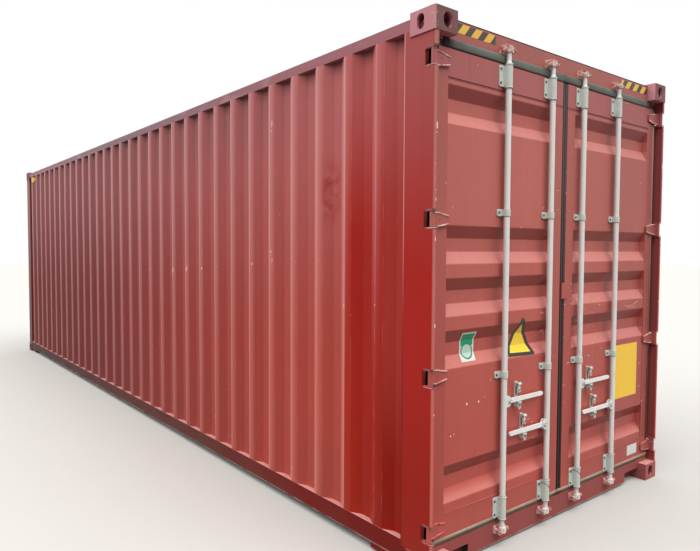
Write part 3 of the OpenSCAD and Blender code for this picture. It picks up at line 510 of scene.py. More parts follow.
def make_casting_paint():
    """Cast corners: rose on the sides, scuffed grey-brown in front, painted shade in the hollows.
    """
    paint = Finish("casting_paint", specular=0.15)
    upper = paint.z.rise(1.2, 1.6)
    lower = paint.blend(tone(84, 44, 42), tone(132, 46, 40), paint.x.rise(-1.0, 1.0))
    side = abs(paint.y).rise(CASTING_STEP, CASTING_STEP + 0.003)
    lower = paint.blend(tone(176, 96, 98), lower, side)
    high = paint.blend(tone(146, 100, 106), tone(204, 138, 146), paint.x.rise(0.0, 1.0))
    side = paint.blend(lower, high, upper)
    front = paint.blend(tone(172, 96, 94), tone(126, 88, 86), upper)
    ahead = paint.x.rise(CASTING_FRONT - 0.0025, CASTING_FRONT - 0.0010)
    colour = paint.blend(side, front, ahead)
    colour, mottle = weather(paint, colour, dirt_top=0.1, chips=0.8)
    scuff = paint.noise(26.0, 5.0).rise(0.56, 0.68)
    colour = paint.blend(colour, tone(204, 176, 166), scuff * 0.35)
    # The top faces of the lower castings are paler.
    pale_top_face = paint.z.between(CASTING_TALL - 0.0015, CASTING_TALL - 0.0002, 0.12, 0.13)
    colour = paint.blend(colour, tone(214, 160, 152), pale_top_face * 0.7)
    soot = paint.z.rise(TOP - 0.0015, TOP - 0.0005) * (0.5 + mottle * 0.4)
    colour = paint.blend(colour, tone(118, 80, 78), soot)
    along, across = abs(paint.x), abs(paint.y)
    # Painted shade inside the castings' openings.
    hollow = along.between(4.3855, 4.3875, 4.544, 4.550)
    hollow = hollow * across.rise(1.058, 1.060) * across.rise(1.208, 1.202)
    height = abs(paint.z - TOP / 2)
    hollow = hollow * height.rise(1.3315, 1.3335) * height.rise(1.4465, 1.4445)
    colour = paint.blend(colour, tone(124, 70, 78), hollow)
    return paint.set(colour, 0.46 + mottle * 0.2, mottle + scuff * 0.3, 0.0016)


def make_door_paint(colours, name, share, pressing):
    """Doors: chalky faded brick red, with dust and painted light on low slopes, painted shade under
    the upper ones, and painted shadows of the rods and the top rail.
    """
    paint = Finish(name, specular=0.16)
    colour = paint.blend(colours.door_low, colours.door_high, paint.z.rise(0.6, 2.2))
    colour = paint.blend(colour, tone(190, 110, 108), paint.z.rise(2.50, 2.62))
    colour = paint.brighten(colour, paint.z.rise(0.2, 0.35) * (share - 1.0) + 1.0)
    colour = paint.blend(colour, tone(148, 76, 76), paint.y.rise(0.02, 0.9) * 0.34)
    # Painted shadow line along the panel's top edge, under the top rail.
    lap = abs(paint.z - PANEL_HIGH.z + 0.006).rise(0.011, 0.004) * abs(paint.y).rise(1.072, 1.062)
    colour = paint.blend(colour, tone(104, 44, 44), lap * 0.6)
    colour, mottle = weather(paint, colour, dirt_top=0.5, chips=0.7)
    # Recess slopes: dust and painted light on the low ones, which face up, and painted shade under
    # the upper ones.
    dust_and_light, shady, high = 0.0, 0.0, paint.z.rise(1.5, 2.4)
    for middle in RECESS_HEIGHTS:
        rise = paint.z - middle
        dust_and_light = rise.between(-0.106, -0.100, -0.040, -0.032) + dust_and_light
        shady = rise.between(0.032, 0.038, 0.102, 0.106) + shady
    pressed = paint.x.rise(DOOR_FACE - 0.0032, DOOR_FACE - 0.0050)
    dust_and_light = dust_and_light * (1.0 - paint.z.between(0.36, 0.42, 0.50, 0.60))
    pressed = pressed * pressing
    colour = paint.blend(colour, tone(244, 186, 178), dust_and_light * pressed * (0.23 - high * 0.05))
    dim = paint.blend(tone(148, 56, 44), tone(148, 62, 64), high)
    colour = paint.blend(colour, dim, shady * pressed * 0.7)
    # Painted shadow and reflection of the rods: a darker band along each of them.
    beside = abs(abs(paint.y) - ROD_Y[4]).least(abs(abs(paint.y) - ROD_Y[3]))
    grime = beside.rise(0.080, 0.015) * (1.0 - dust_and_light * 0.5)
    colour = paint.blend(colour, tone(104, 46, 42), grime * 0.26)
    scratch = paint.noise(34.0, 3.0, stretch=(1, 0.5, 2.2), shift=(2, 2, 7)).rise(0.66, 0.70)
    region = paint.noise(1.7, 1.0, shift=(1, 4, 4)).rise(0.54, 0.62)
    colour = paint.blend(colour, tone(232, 196, 188), scratch * region * 0.6)
    return paint.set(colour, 0.27 + mottle * 0.14, skin(paint, mottle), 0.0012)


def make_front_paint(colours, name, starts, low):
    """Frame paint: red on the sides, and chalky on what faces the front past a place, with painted
    light in the post lips' channels and a painted highlight along their bends.
    """
    paint = Finish(name, specular=0.12)
    red = paint.blend(tone(154, 34, 24), colours.wall_fresh, paint.z.rise(0.3, 1.2))
    red = paint.blend(red, tone(176, 96, 96), paint.z.rise(1.5, 2.8) * 0.75)
    far = paint.blend(tone(96, 46, 46), tone(150, 100, 100), paint.z.rise(0.4, 2.8))
    red = paint.blend(far, red, paint.x.rise(-1.0, 1.0))
    front = paint.blend(low, tone(172, 104, 98), paint.z.rise(0.2, 2.9))
    behind = abs(paint.y).rise(LIP_INSIDE, LIP_INSIDE - 0.004)
    red = paint.blend(red, tone(140, 72, 66), behind * 0.85)
    colour = paint.blend(red, front, paint.x.rise(starts, starts + 0.004))
    colour, mottle = weather(paint, colour, dirt_top=0.4, chips=0.6)
    tread = behind * paint.z.rise(SILL_TREAD - 0.001, SILL_TREAD) * paint.z.rise(0.20, 0.15)
    rub = paint.noise(20.0, 5.0, stretch=(2, 0.5, 1), shift=(2, 7, 1)).rise(0.42, 0.62)
    colour = paint.blend(colour, tone(150, 128, 118), tread * rub * 0.7)
    # Painted light: a paler red inside the J channel, lifting the shade that falls there.
    channel = abs(paint.y).rise(1.2066, 1.2062) * abs(paint.y).rise(1.160, 1.166)
    channel = channel * paint.x.rise(4.46, 4.468) * paint.x.rise(4.5536, 4.5532)
    colour = paint.blend(colour, tone(168, 84, 84), channel)
    worn = paint.z.rise(0.0205, 0.0190) * paint.x.rise(4.47, 4.48) * mottle.rise(0.35, 0.55)
    colour = paint.blend(colour, tone(214, 176, 168), worn * 0.7)
    soot = paint.z.rise(HEADER_TOP - 0.0015, HEADER_TOP) * (0.4 + mottle * 0.6)
    colour = paint.blend(colour, tone(112, 74, 70), soot)
    seam = paint.z.rise(2.8745, 2.8765) * paint.x.rise(4.5, 4.502)
    seam = seam * abs(paint.y).rise(1.056, 1.055)
    colour = paint.blend(colour, tone(70, 30, 32), seam)
    # Painted highlight along the bend of each post lip.
    bend = abs(paint.y).rise(1.197, 1.204) * paint.x.rise(4.548, 4.552)
    bend = bend * abs(paint.y).rise(1.213, 1.209)
    colour = paint.blend(colour, tone(210, 132, 126), bend * 0.55)
    joint = paint.x.rise(POST_LOW.x + 0.009, POST_LOW.x + 0.004) * abs(paint.y).rise(1.205, 1.208)
    joint = joint * paint.x.rise(4.30, 4.32)
    colour = paint.blend(colour, tone(232, 170, 166), joint * paint.z.rise(1.2, 2.0) * 0.7)
    colour = paint.blend(colour, tone(84, 20, 16), joint * paint.z.rise(1.6, 1.0) * 0.6)
    chips = paint.noise(95.0, 2.0, shift=(3, 1, 4)).rise(0.66, 0.70) * paint.x.rise(4.553, 4.555)
    chips = chips * paint.noise(2.6, 2.0, shift=(3, 9, 1)).rise(0.52, 0.58)
    colour = paint.blend(colour, tone(230, 200, 190), chips * 0.75)
    return paint.set(colour, 0.36 + mottle * 0.18, skin(paint, mottle), 0.0010)


def make_edge_paint():
    """Keepers and rims: pale worn pink in patches, with dark grime."""
    paint = Finish("worn_paint", specular=0.28)
    rub = paint.noise(34.0, 4.0)
    colour = paint.blend(tone(196, 120, 112), tone(232, 194, 186), rub.rise(0.34, 0.60))
    painted = paint.z.between(0.150, 0.180, 0.330, 0.360)
    colour = paint.blend(colour, tone(180, 88, 80), painted * 0.75)
    grime = paint.noise(60.0, 3.0, shift=(2, 2, 2)).rise(0.56, 0.64)
    colour = paint.blend(colour, tone(104, 50, 48), grime * 0.8)
    return paint.set(colour, 0.45 + rub * 0.15, rub, 0.0008)


def make_under_paint(colours):
    """Bottom rails and cross members: dark red near the doors, brown far off, pale ledge."""
    paint = Finish("under_paint", specular=0.16)
    base = paint.blend(tone(72, 44, 42), colours.under, paint.x.rise(-3.0, 1.5))
    base = paint.blend(base, tone(116, 22, 18), paint.x.rise(1.5, 3.9))
    outside = abs(paint.y).rise(1.16, 1.17)
    base = paint.blend(tone(70, 42, 38), base, outside)
    colour, mottle = weather(paint, base, dirt_top=0.2, chips=0.4)
    ledge = paint.z.rise(0.1500, 0.1508) * outside
    colour = paint.blend(colour, tone(200, 142, 136), ledge * (0.7 + mottle * 0.5).least(1.0))
    lip = paint.z.rise(0.052, 0.049) * abs(paint.y).rise(1.2075, 1.2085)
    lip = lip * paint.z.rise(0.044, 0.0445)
    colour = paint.blend(colour, tone(176, 150, 138), lip * mottle.rise(0.3, 0.6) * 0.8)
    return paint.set(colour, 0.5 + mottle * 0.2, skin(paint, mottle), 0.002)


def make_rod_finish(colours, name, share):
    """Galvanised rods and handles, dulled, with small dark runs and pink painted cams."""
    paint = Finish(name, metallic=0.15, specular=0.45)
    spangle = paint.noise(60.0, 3.0)
    smear = paint.noise(9.0, 3.0, stretch=(1, 1, 0.25))
    colour = paint.brighten(colours.gear, (0.86 + spangle * 0.12 + smear * 0.12) * share)
    grime = paint.noise(24.0, 4.0, stretch=(1, 1, 0.3), shift=(2, 3, 4)).rise(0.58, 0.74)
    colour = paint.blend(colour, tone(124, 112, 100), grime * 0.25)
    rub = paint.noise(70.0, 3.0, shift=(1, 6, 2)).rise(0.42, 0.6)
    cams = paint.blend(tone(188, 136, 130), tone(226, 214, 206), rub)
    colour = paint.blend(colour, cams, paint.z.rise(2.782, 2.786))
    colour = paint.blend(colour, tone(238, 222, 216), paint.z.rise(0.118, 0.114) * 0.8)
    return paint.set(colour, 0.36 + smear * 0.2, spangle, 0.0004)


def make_bracket_finish(colours):
    """Pale green-grey paint of the bearings and catches."""
    paint = Finish("bracket_paint", specular=0.4)
    mottle = paint.noise(40.0, 4.0)
    colour = paint.brighten(colours.bracket, 0.90 + mottle * 0.16)
    grime = paint.noise(18.0, 4.0, shift=(4, 1, 0)).rise(0.56, 0.72)
    colour = paint.blend(colour, tone(128, 114, 100), grime * 0.25)
    return paint.set(colour, 0.42 + mottle * 0.2, mottle, 0.0006)


def make_rubber(colours):
    """Weathered rubber: green-grey at the header, brown low down, dark in the middle, with painted
    light at the hinge sides and painted shade at the header seal's ends and under its lip.
    """
    paint = Finish("seal_rubber", specular=0.18)
    dust = paint.noise(14.0, 4.0)
    colour = paint.blend(colours.rubber, tone(108, 112, 104), paint.z.rise(2.69, 2.72))
    # Painted light on the seals at the hinge sides, lifting the shade of the gap.
    colour = paint.blend(colour, tone(128, 104, 94), abs(paint.y).rise(1.128, 1.132))
    # Painted shade at the header seal's ends by the posts.
    corner = abs(paint.y).rise(1.000, 1.100) * paint.z.rise(2.70, 2.71)
    colour = paint.blend(colour, tone(66, 48, 50), corner)
    middle = abs(paint.y).rise(0.06, 0.03) * paint.z.rise(2.725, 2.715)
    colour = paint.blend(colour, tone(68, 58, 60), middle)
    # Painted shade on the underside of the header seal's lip.
    under = paint.z.rise(2.738, 2.730) * paint.z.rise(2.719, 2.721)
    colour = paint.blend(colour, tone(58, 50, 46), under)
    worn = paint.noise(38.0, 4.0, stretch=(1, 1, 1.6), shift=(2, 1, 1))
    colour = paint.brighten(colour, 0.60 + dust * 0.35 + worn * 0.40)
    return paint.set(colour, 0.62, dust, 0.0008)


def make_floor_boards():
    """Worn plywood sheets laid across the floor."""
    paint = Finish("floor_boards", specular=0.3)
    grain = paint.noise(6.0, 6.0, stretch=(14, 1, 1))
    sheet = paint.noise(1.0, 0.0, stretch=(0.8, 0.8, 0))
    colour = paint.blend(tone(120, 86, 56), tone(158, 120, 82), grain)
    colour = paint.brighten(colour, 0.75 + sheet * 0.4)
    tracks = paint.noise(3.0, 5.0, stretch=(0.25, 2.6, 1), shift=(1, 5, 0)).rise(0.52, 0.70)
    colour = paint.blend(colour, tone(74, 60, 50), tracks * 0.5)
    gouge = paint.noise(40.0, 4.0, stretch=(0.2, 1.4, 1), shift=(3, 3, 0)).rise(0.66, 0.72)
    colour = paint.blend(colour, tone(196, 160, 118), gouge * 0.5)
    joint = abs((paint.x + 4.0).wrap(1.2) - 0.6).rise(0.594, 0.597)
    joint = joint.most(abs(paint.y.wrap(0.578) - 0.289).rise(0.2865, 0.2880))
    colour = paint.blend(colour, tone(40, 28, 20), joint)
    return paint.set(colour, 0.6 + grain * 0.15, grain - joint, 0.001)


def make_plain(name, colour, rough=0.5, metallic=0.0, scuff=0.15):
    """A plain finish with a little unevenness."""
    paint = Finish(name, metallic=metallic, specular=0.4)
    mottle = paint.noise(50.0, 4.0)
    colour = paint.brighten(colour, 1.0 - scuff / 2 + mottle * scuff)
    return paint.set(colour, rough, mottle, 0.0004)


def make_stripes():
    """Yellow and black warning stripes that lean to the right."""
    paint = Finish("warning_stripes", specular=0.4)
    lean = (paint.y - paint.z * 0.86 + paint.y.rise(-0.01, 0.01) * 0.045 + 0.090).wrap(0.104)
    dark = lean.rise(0.053, 0.056)
    scuff = paint.noise(45.0, 4.0)
    colour = paint.blend(tone(240, 190, 74), tone(74, 64, 60), dark)
    colour = paint.brighten(colour, 0.88 + scuff * 0.24)
    return paint.set(colour, 0.5, scuff, 0.0003)


def make_label():
    """A label without words: green, with a pale round patch ringed in green below."""
    paint = Finish("label_film", specular=0.4)
    scuff = paint.noise(40.0, 4.0)
    across, up = (paint.y + 0.859) / 0.044, (paint.z - 1.146) / 0.040
    round_off = across * across + up * up
    low = paint.z.rise(1.176, 1.174)
    colour = paint.blend(tone(8, 150, 104), tone(232, 230, 220), low)
    colour = paint.blend(colour, tone(24, 138, 106), round_off.rise(1.30, 1.14))
    colour = paint.blend(colour, tone(190, 218, 204), round_off.rise(0.86, 0.72))
    colour = paint.brighten(colour, 0.90 + scuff * 0.18)
    return paint.set(colour, 0.45, scuff, 0.0003)


# Making pieces.


def add_box(mesh, low, high, turn=None, about=None):
    """Adds a box between two corners, turned about a point if asked."""
    low, high = Vector(low), Vector(high)
    size = Matrix.Diagonal((*(high - low), 1.0))
    place = Matrix.Translation((low + high) / 2)
    matrix = place @ size
    if turn is not None:
        about = Vector(about)
        matrix = Matrix.Translation(about) @ turn @ Matrix.Translation(-about) @ matrix
    return bmesh.ops.create_cube(mesh, size=1.0, matrix=matrix)["verts"]


def facing(direction):
    """A turn that takes +Z to a direction."""
    return Vector(direction).to_track_quat("Z", "Y").to_matrix().to_4x4()


def add_disc(mesh, centre, direction, radius, height, sides=12, top=None):
    """Adds a cylinder or cone that starts at centre and stands along direction."""
    matrix = Matrix.Translation(centre) @ facing(direction) @ Matrix.Translation((0, 0, height / 2))
    top = radius if top is None else top
    return bmesh.ops.create_cone(mesh, cap_ends=True, segments=sides, radius1=radius,
                                 radius2=top, depth=height, matrix=matrix)["verts"]


def add_bolt(mesh, centre, direction, width):
    """Adds a hexagon head on a washer."""
    add_disc(mesh, centre, direction, width * 0.72, width * 0.12, 14)
    head = Vector(centre) + Vector(direction) * width * 0.12
    add_disc(mesh, head, direction, width * 0.56, width * 0.42, 6, width * 0.50)


def add_bead(mesh, start, end, radius, sides=8):
    """Adds a weld bead, a rod that lies half sunk along a line."""
    start, end = Vector(start), Vector(end)
    add_disc(mesh, start, (end - start).normalized(), radius, (end - start).length, sides)


def add_strip(mesh, start, end, across, width, bulge, outward=(1, 0, 0), sides=20):
    """Adds a strip with a flat back and a round front, from start to end."""
    start, end, across, outward = Vector(start), Vector(end), Vector(across), Vector(outward)
    verts = bmesh.ops.create_cone(mesh, cap_ends=True, segments=sides, radius1=1.0, radius2=1.0,
                                  depth=1.0)["verts"]
    for vert in verts:
        side, rise, step = vert.co
        lift = bulge * max(rise, 0.0) ** 0.7
        vert.co = start.lerp(end, step + 0.5) + across * (side * width / 2) + outward * lift


def add_ring(mesh, centre, radius, thick, steps=24, sides=8):
    """Adds a round ring that lies level about a centre."""
    place = Matrix.Translation(Vector(centre) + Vector((radius, 0, 0)))
    turn = Matrix.Rotation(math.radians(90), 4, "X")
    profile = bmesh.ops.create_circle(mesh, segments=sides, radius=thick / 2, matrix=place @ turn)
    edges = list({edge for vert in profile["verts"] for edge in vert.link_edges})
    bmesh.ops.spin(mesh, geom=profile["verts"] + edges, cent=centre, axis=(0, 0, 1),
                   angle=math.tau, steps=steps, use_merge=True)


def add_tube(mesh, points, radius, sides=6):
    """Adds a bent wire through points, with a ball of the same width at each bend."""
    points = [Vector(point) for point in points]
    for here, there in zip(points, points[1:]):
        add_disc(mesh, here, (there - here).normalized(), radius, (there - here).length, sides)
    for point in points:
        matrix = Matrix.Translation(point)
        bmesh.ops.create_icosphere(mesh, subdivisions=2, radius=radius, matrix=matrix)


def add_plate(mesh, outline, low, high, place):
    """Adds a flat plate from an outline; place turns (a, b, height) into a point."""
    loop = [bmesh.ops.create_vert(mesh, co=place(a, b, low))["vert"][0] for a, b in outline]
    face = bmesh.ops.contextual_create(mesh, geom=loop)["faces"]
    drawn = bmesh.ops.extrude_face_region(mesh, geom=face, use_keep_orig=True)["geom"]
    step = Vector(place(0, 0, high)) - Vector(place(0, 0, low))
    verts = [item for item in drawn if isinstance(item, bmesh.types.BMVert)]
    bmesh.ops.translate(mesh, verts=verts, vec=step)


def add_chips(mesh, chips, shape, place):
    """Adds a thin plate of one shape for each chip of (a, b, half width, half height)."""
    for a, b, across, up in chips:
        outline = [(a + p * across, b + q * up) for p, q in shape]
        add_plate(mesh, outline, 0.0, CHIP_THICK, place)


def new_piece(name, mesh, material, body, smooth=False, bevel=0.0):
    """Makes a finished piece from a bmesh, and lets it ride on a body."""
    bmesh.ops.recalc_face_normals(mesh, faces=mesh.faces)
    data = bpy.data.meshes.new(name)
    mesh.to_mesh(data)
    mesh.free()
    for face in data.polygons:
        face.use_smooth = smooth
    data.materials.append(material)
    piece = bpy.data.objects.new(name, data)
    bpy.context.scene.collection.objects.link(piece)
    if bevel > 0.0:
        rounding = piece.modifiers.new("rounding", "BEVEL")
        rounding.width = bevel
        rounding.segments = 2
        rounding.limit_method = "ANGLE"
    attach(piece, body)
    return piece


def panel_depth(y, z):
    """How far a door panel is pressed in at a place on its face."""
    y = abs(y)
    from_end = min(y - PANEL_LOW.y, PANEL_HIGH.y - y) / RECESS_END
    from_side = max((RECESS_HALF - abs(z - middle)) / RECESS_RUN for middle in RECESS_HEIGHTS)
    return RECESS_DEPTH * max(0.0, min(1.0, from_end, from_side))


def move_into(mesh, part):
    """Adds all of another bmesh to a bmesh, and frees the other."""
    copy = bpy.data.meshes.new("moved_part")
    part.to_mesh(copy)
    part.free()
    mesh.from_mesh(copy)
    bpy.data.meshes.remove(copy)


def add_sticker(mesh, outline, thick):
    """Adds a thin sheet that follows the pressed door panel inside an outline of (y, z)."""
    low_y = min(p[0] for p in outline)
    high_y = max(p[0] for p in outline)
    low_z = min(p[1] for p in outline)
    high_z = max(p[1] for p in outline)
    grid = bmesh.new()
    place = Matrix.Translation((0, (low_y + high_y) / 2, (low_z + high_z) / 2))
    size = Matrix.Diagonal((1, (high_y - low_y) / 2, (high_z - low_z) / 2, 1))
    turn = Matrix.Rotation(math.radians(90), 4, "Y")
    bmesh.ops.create_grid(grid, x_segments=48, y_segments=8, size=1.0, matrix=place @ size @ turn)
    count = len(outline)
    for index in range(count):
        here, there = Vector(outline[index]), Vector(outline[(index + 1) % count])
        along = there - here
        outward = Vector((0, along.y, -along.x))
        everything = grid.verts[:] + grid.edges[:] + grid.faces[:]
        bmesh.ops.bisect_plane(grid, geom=everything, plane_co=(0, here.x, here.y),
                               plane_no=outward, clear_outer=True)
    for vert in grid.verts:
        seat = DOOR_FACE - SHEET - panel_depth(vert.co.y, vert.co.z)
        seat = seat if PANEL_LOW.z < vert.co.z < PANEL_HIGH.z else DOOR_FACE
        vert.co.x = seat + thick
    bmesh.ops.solidify(grid, geom=grid.faces[:], thickness=thick * 0.8)
    move_into(mesh, grid)


# Operators.


class CONTAINER_OT_stage(bpy.types.Operator):
    """Camera, floor, sky and lamp"""
    bl_idname = "container.stage"
    bl_label = "Stage"

    def execute(self, context):
        self.add_camera(context.scene)
        self.add_floor(context.scene)
        self.add_sky(context.scene)
        self.add_lamp(context.scene)
        return {"FINISHED"}

    def add_camera(self, scene):
        settings = scene.container_camera
        ahead = Vector((math.cos(settings.tilt) * math.cos(settings.heading),
                        math.cos(settings.tilt) * math.sin(settings.heading),
                        -math.sin(settings.tilt)))
        right = ahead.cross((0, 0, 1)).normalized()
        above = right.cross(ahead)
        level = Matrix((right, above, -ahead)).transposed()
        turned = level @ Matrix.Rotation(settings.roll, 3, "Z")
        data = bpy.data.cameras.new("camera")
        data.sensor_width = 36.0
        data.lens = settings.lens
        data.clip_end = 200.0
        camera = bpy.data.objects.new("camera", data)
        camera.matrix_world = Matrix.Translation(settings.place) @ turned.to_4x4()
        scene.collection.objects.link(camera)
        scene.camera = camera
        scene.view_settings.view_transform = "Standard"

    def add_floor(self, scene):
        mesh = bmesh.new()
        half = scene.container_stage.floor_size
        bmesh.ops.create_grid(mesh, x_segments=1, y_segments=1, size=half)
        data = bpy.data.meshes.new("floor_sheet")
        mesh.to_mesh(data)
        mesh.free()
        paint = Finish("stage_floor", specular=0.1)
        seen = 0.0
        for ray in BACKGROUND_RAYS:
            seen = paint.node("ShaderNodeLightPath", {}, [], ray) + seen
        grain = paint.noise(3.0, 4.0)
        bare = paint.brighten(tone(187, 186, 183), 0.98 + grain * 0.03)
        paint.set(paint.blend(tone(82, 78, 72), bare, seen), 0.9)
        data.materials.append(paint.material)
        floor = bpy.data.objects.new("floor_sheet", data)
        scene.collection.objects.link(floor)

    def add_sky(self, scene):
        settings = scene.container_stage
        world = bpy.data.worlds.new("sky")
        world.use_nodes = True
        tree = world.node_tree
        scene.world = world
        background = tree.nodes["Background"]
        place = tree.nodes.new("ShaderNodeTexCoord")
        split = tree.nodes.new("ShaderNodeSeparateXYZ")
        tree.links.new(place.outputs["Generated"], split.inputs[0])
        ramp = tree.nodes.new("ShaderNodeMapRange")
        tree.links.new(split.outputs["Z"], ramp.inputs["Value"])
        ramp.inputs["From Min"].default_value = 0.0
        ramp.inputs["From Max"].default_value = 1.0
        ramp.inputs["To Min"].default_value = settings.horizon
        ramp.inputs["To Max"].default_value = settings.zenith
        path = tree.nodes.new("ShaderNodeLightPath")
        white = tree.nodes.new("ShaderNodeMix")
        shown = path.outputs[BACKGROUND_RAYS[0]]
        for ray in BACKGROUND_RAYS[1:]:
            either = tree.nodes.new("ShaderNodeMath")
            either.operation = "MAXIMUM"
            tree.links.new(shown, either.inputs[0])
            tree.links.new(path.outputs[ray], either.inputs[1])
            shown = either.outputs[0]
        tree.links.new(shown, white.inputs[0])
        tree.links.new(ramp.outputs[0], white.inputs[2])
        white.inputs[3].default_value = 1.0
        tree.links.new(white.outputs[0], background.inputs["Strength"])
        background.inputs["Color"].default_value = (1.0, 1.0, 1.0, 1.0)

    def add_lamp(self, scene):
        settings = scene.container_stage
        lamps = {"key_lamp": (settings.lamp, 60, (-0.15, -0.6, 0.8)),
                 "fill_lamp": (settings.fill, 50, (0.5, 0.15, 0.86))}
        for name, (energy, spread, direction) in lamps.items():
            data = bpy.data.lights.new(name, "SUN")
            data.energy = energy
            data.angle = math.radians(spread)
            data.color = (1.0, 0.985, 0.96)
            lamp = bpy.data.objects.new(name, data)
            lamp.matrix_world = facing(direction)
            scene.collection.objects.link(lamp)


class CONTAINER_OT_paints(bpy.types.Operator):
    """Paint, rubber, steel and boards on the CAD nodes"""
    bl_idname = "container.paints"
    bl_label = "Paints"

    def execute(self, context):
        colours = context.scene.container_paint
        MADE["wall"] = make_wall_paint(colours)
        MADE["rail"] = make_rail_paint()
        MADE["front"] = make_front_wall_paint(colours)
        MADE["roof"] = make_roof_paint()
        MADE["casting"] = make_casting_paint()
        MADE["door"] = make_door_paint(colours, "door_paint", 1.0, 1.0)
        MADE["leaf"] = make_door_paint(colours, "leaf_paint", 0.86, 0.0)
        MADE["post"] = make_front_paint(colours, "post_paint", POST_HIGH.x - 0.012,
                                        tone(190, 82, 72))
        MADE["frame"] = make_front_paint(colours, "frame_paint", DOOR_FACE - 0.012,
                                         tone(160, 80, 78))
        MADE["under"] = make_under_paint(colours)
        MADE["worn"] = make_edge_paint()
        MADE["rod"] = make_rod_finish(colours, "rod_steel", 1.0)
        MADE["handle"] = make_rod_finish(colours, "handle_steel", 1.12)
        MADE["bracket"] = make_bracket_finish(colours)
        MADE["rubber"] = make_rubber(colours)
        MADE["boards"] = make_floor_boards()
        MADE["dark_bolt"] = make_plain("bolt_steel", tone(110, 94, 84), 0.5, 0.4, 0.4)
        MADE["lip"] = make_plain("seal_lip", tone(168, 150, 132), 0.6, scuff=0.4)
        MADE["bare"] = make_plain("bare_spot", tone(244, 214, 200), 0.6)
        MADE["wire"] = make_plain("seal_wire", tone(70, 58, 52), 0.45, 0.5, 0.3)
        finish_nodes(MADE["wall"], "side_wall_left", "side_wall_right")
        finish_nodes(MADE["front"], "front_wall")
        finish_nodes(MADE["rail"], "top_rails", "front_top_rail")
        finish_nodes(MADE["roof"], "roof")
        finish_nodes(MADE["casting"], "castings_door_top", "castings_door_bottom",
                     "castings_front_top", "castings_front_bottom")
        finish_nodes(MADE["post"], "posts_door", "posts_front")
        finish_nodes(MADE["frame"], "door_header", "door_sill", "hinge_lugs")
        finish_nodes(MADE["worn"], "cam_keepers")
        finish_nodes(MADE["under"], "bottom_rails", "front_bottom_rail", "cross_members")
        finish_nodes(MADE["boards"], "floor")
        for side in ("left", "right"):
            finish_nodes(MADE["door"], "door_panel_" + side)
            finish_nodes(MADE["leaf"], "door_frame_" + side, "hinge_blades_" + side)
            finish_nodes(MADE["rubber"], "door_seal_" + side)
            finish_nodes(MADE["bracket"], "rod_bearings_" + side, "handle_catches_" + side)
        for rod in RODS:
            finish_nodes(MADE["rod"], f"lock_rod_{rod}")
            finish_nodes(MADE["handle"], f"handle_{rod}")
            finish_nodes(MADE["bracket"], f"catch_flap_{rod}")
        return {"FINISHED"}


class CONTAINER_OT_stripes(bpy.types.Operator):
    """Warning stripes on the header's ends"""
    bl_idname = "container.stripes"
    bl_label = "Warning stripes"

    def execute(self, context):
        tape = context.scene.container_fittings.tape
        face, top = HEADER_HIGH.x, HEADER_HIGH.z - 0.014
        mesh = bmesh.new()
        for side in (-1, 1):
            inner, outer = sorted((side * 0.685, side * 1.045))
            add_box(mesh, (face, inner, top - 0.050), (face + tape, outer, top))
        new_piece("header_stripes", mesh, make_stripes(), "frame")
        return {"FINISHED"}


class CONTAINER_OT_stickers(bpy.types.Operator):
    """Plain stickers without words on the door panels"""
    bl_idname = "container.stickers"
    bl_label = "Plain stickers"

    def execute(self, context):
        tape = context.scene.container_fittings.tape
        yellow = make_plain("yellow_film", tone(255, 206, 54), 0.4, scuff=0.14)
        bright = make_plain("bright_film", tone(255, 216, 60), 0.4, scuff=0.1)
        white = make_plain("white_film", tone(226, 224, 218), 0.45, scuff=0.1)
        edging = make_plain("dark_film", tone(44, 40, 40), 0.45, scuff=0.3)
        self.add_patch("yellow_patch", 1, yellow, tape,
                       [(0.655, 0.650), (0.985, 0.650), (0.985, 1.030), (0.655, 1.030)])
        self.add_patch("white_patch", 1, white, tape,
                       [(0.873, 0.209), (1.012, 0.209), (1.012, 0.281), (0.873, 0.281)])
        self.add_patch("label_edging", -1, white, tape,
                       [(-0.918, 1.092), (-0.803, 1.092), (-0.797, 1.250), (-0.915, 1.250)])
        self.add_patch("triangle_edging", -1, edging, tape,
                       [(-0.524, 1.092), (-0.513, 1.078), (-0.282, 1.070), (-0.268, 1.082),
                        (-0.382, 1.292), (-0.397, 1.302), (-0.410, 1.294)])
        self.add_patch("yellow_triangle", -1, bright, tape * 1.6,
                       [(-0.497, 1.098), (-0.304, 1.090), (-0.396, 1.262)])
        self.add_far_patch(yellow, tape)
        self.add_patch("green_label", -1, make_label(), tape * 1.6,
                       [(-0.908, 1.100), (-0.812, 1.100), (-0.808, 1.241), (-0.906, 1.241)])
        return {"FINISHED"}

    def add_patch(self, name, side, material, thick, outline):
        """Adds a sticker on the door panel of a side."""
        mesh = bmesh.new()
        add_sticker(mesh, outline, thick)
        new_piece(name, mesh, material, f"door_{HAND[side]}")

    def add_far_patch(self, material, tape):
        """Adds a small torn patch high at the far end of the left wall, over a crest's edge."""
        lean = CREST_DEPTH / CREST_SLOPE
        mesh = bmesh.new()
        add_plate(mesh, [(-4.222, 2.740), (-4.155, 2.712), (-4.155, 2.795), (-4.222, 2.795)],
                  0.0, tape, lambda a, b, c: (a, WALL_LOW.y - c, b))
        add_plate(mesh, [(-4.153, 2.712), (-4.100, 2.755), (-4.100, 2.795), (-4.153, 2.795)],
                  0.0, tape, lambda a, b, c: (a, WALL_LOW.y - c + (a + 4.154) * lean, b))
        new_piece("far_patch", mesh, material, "frame")


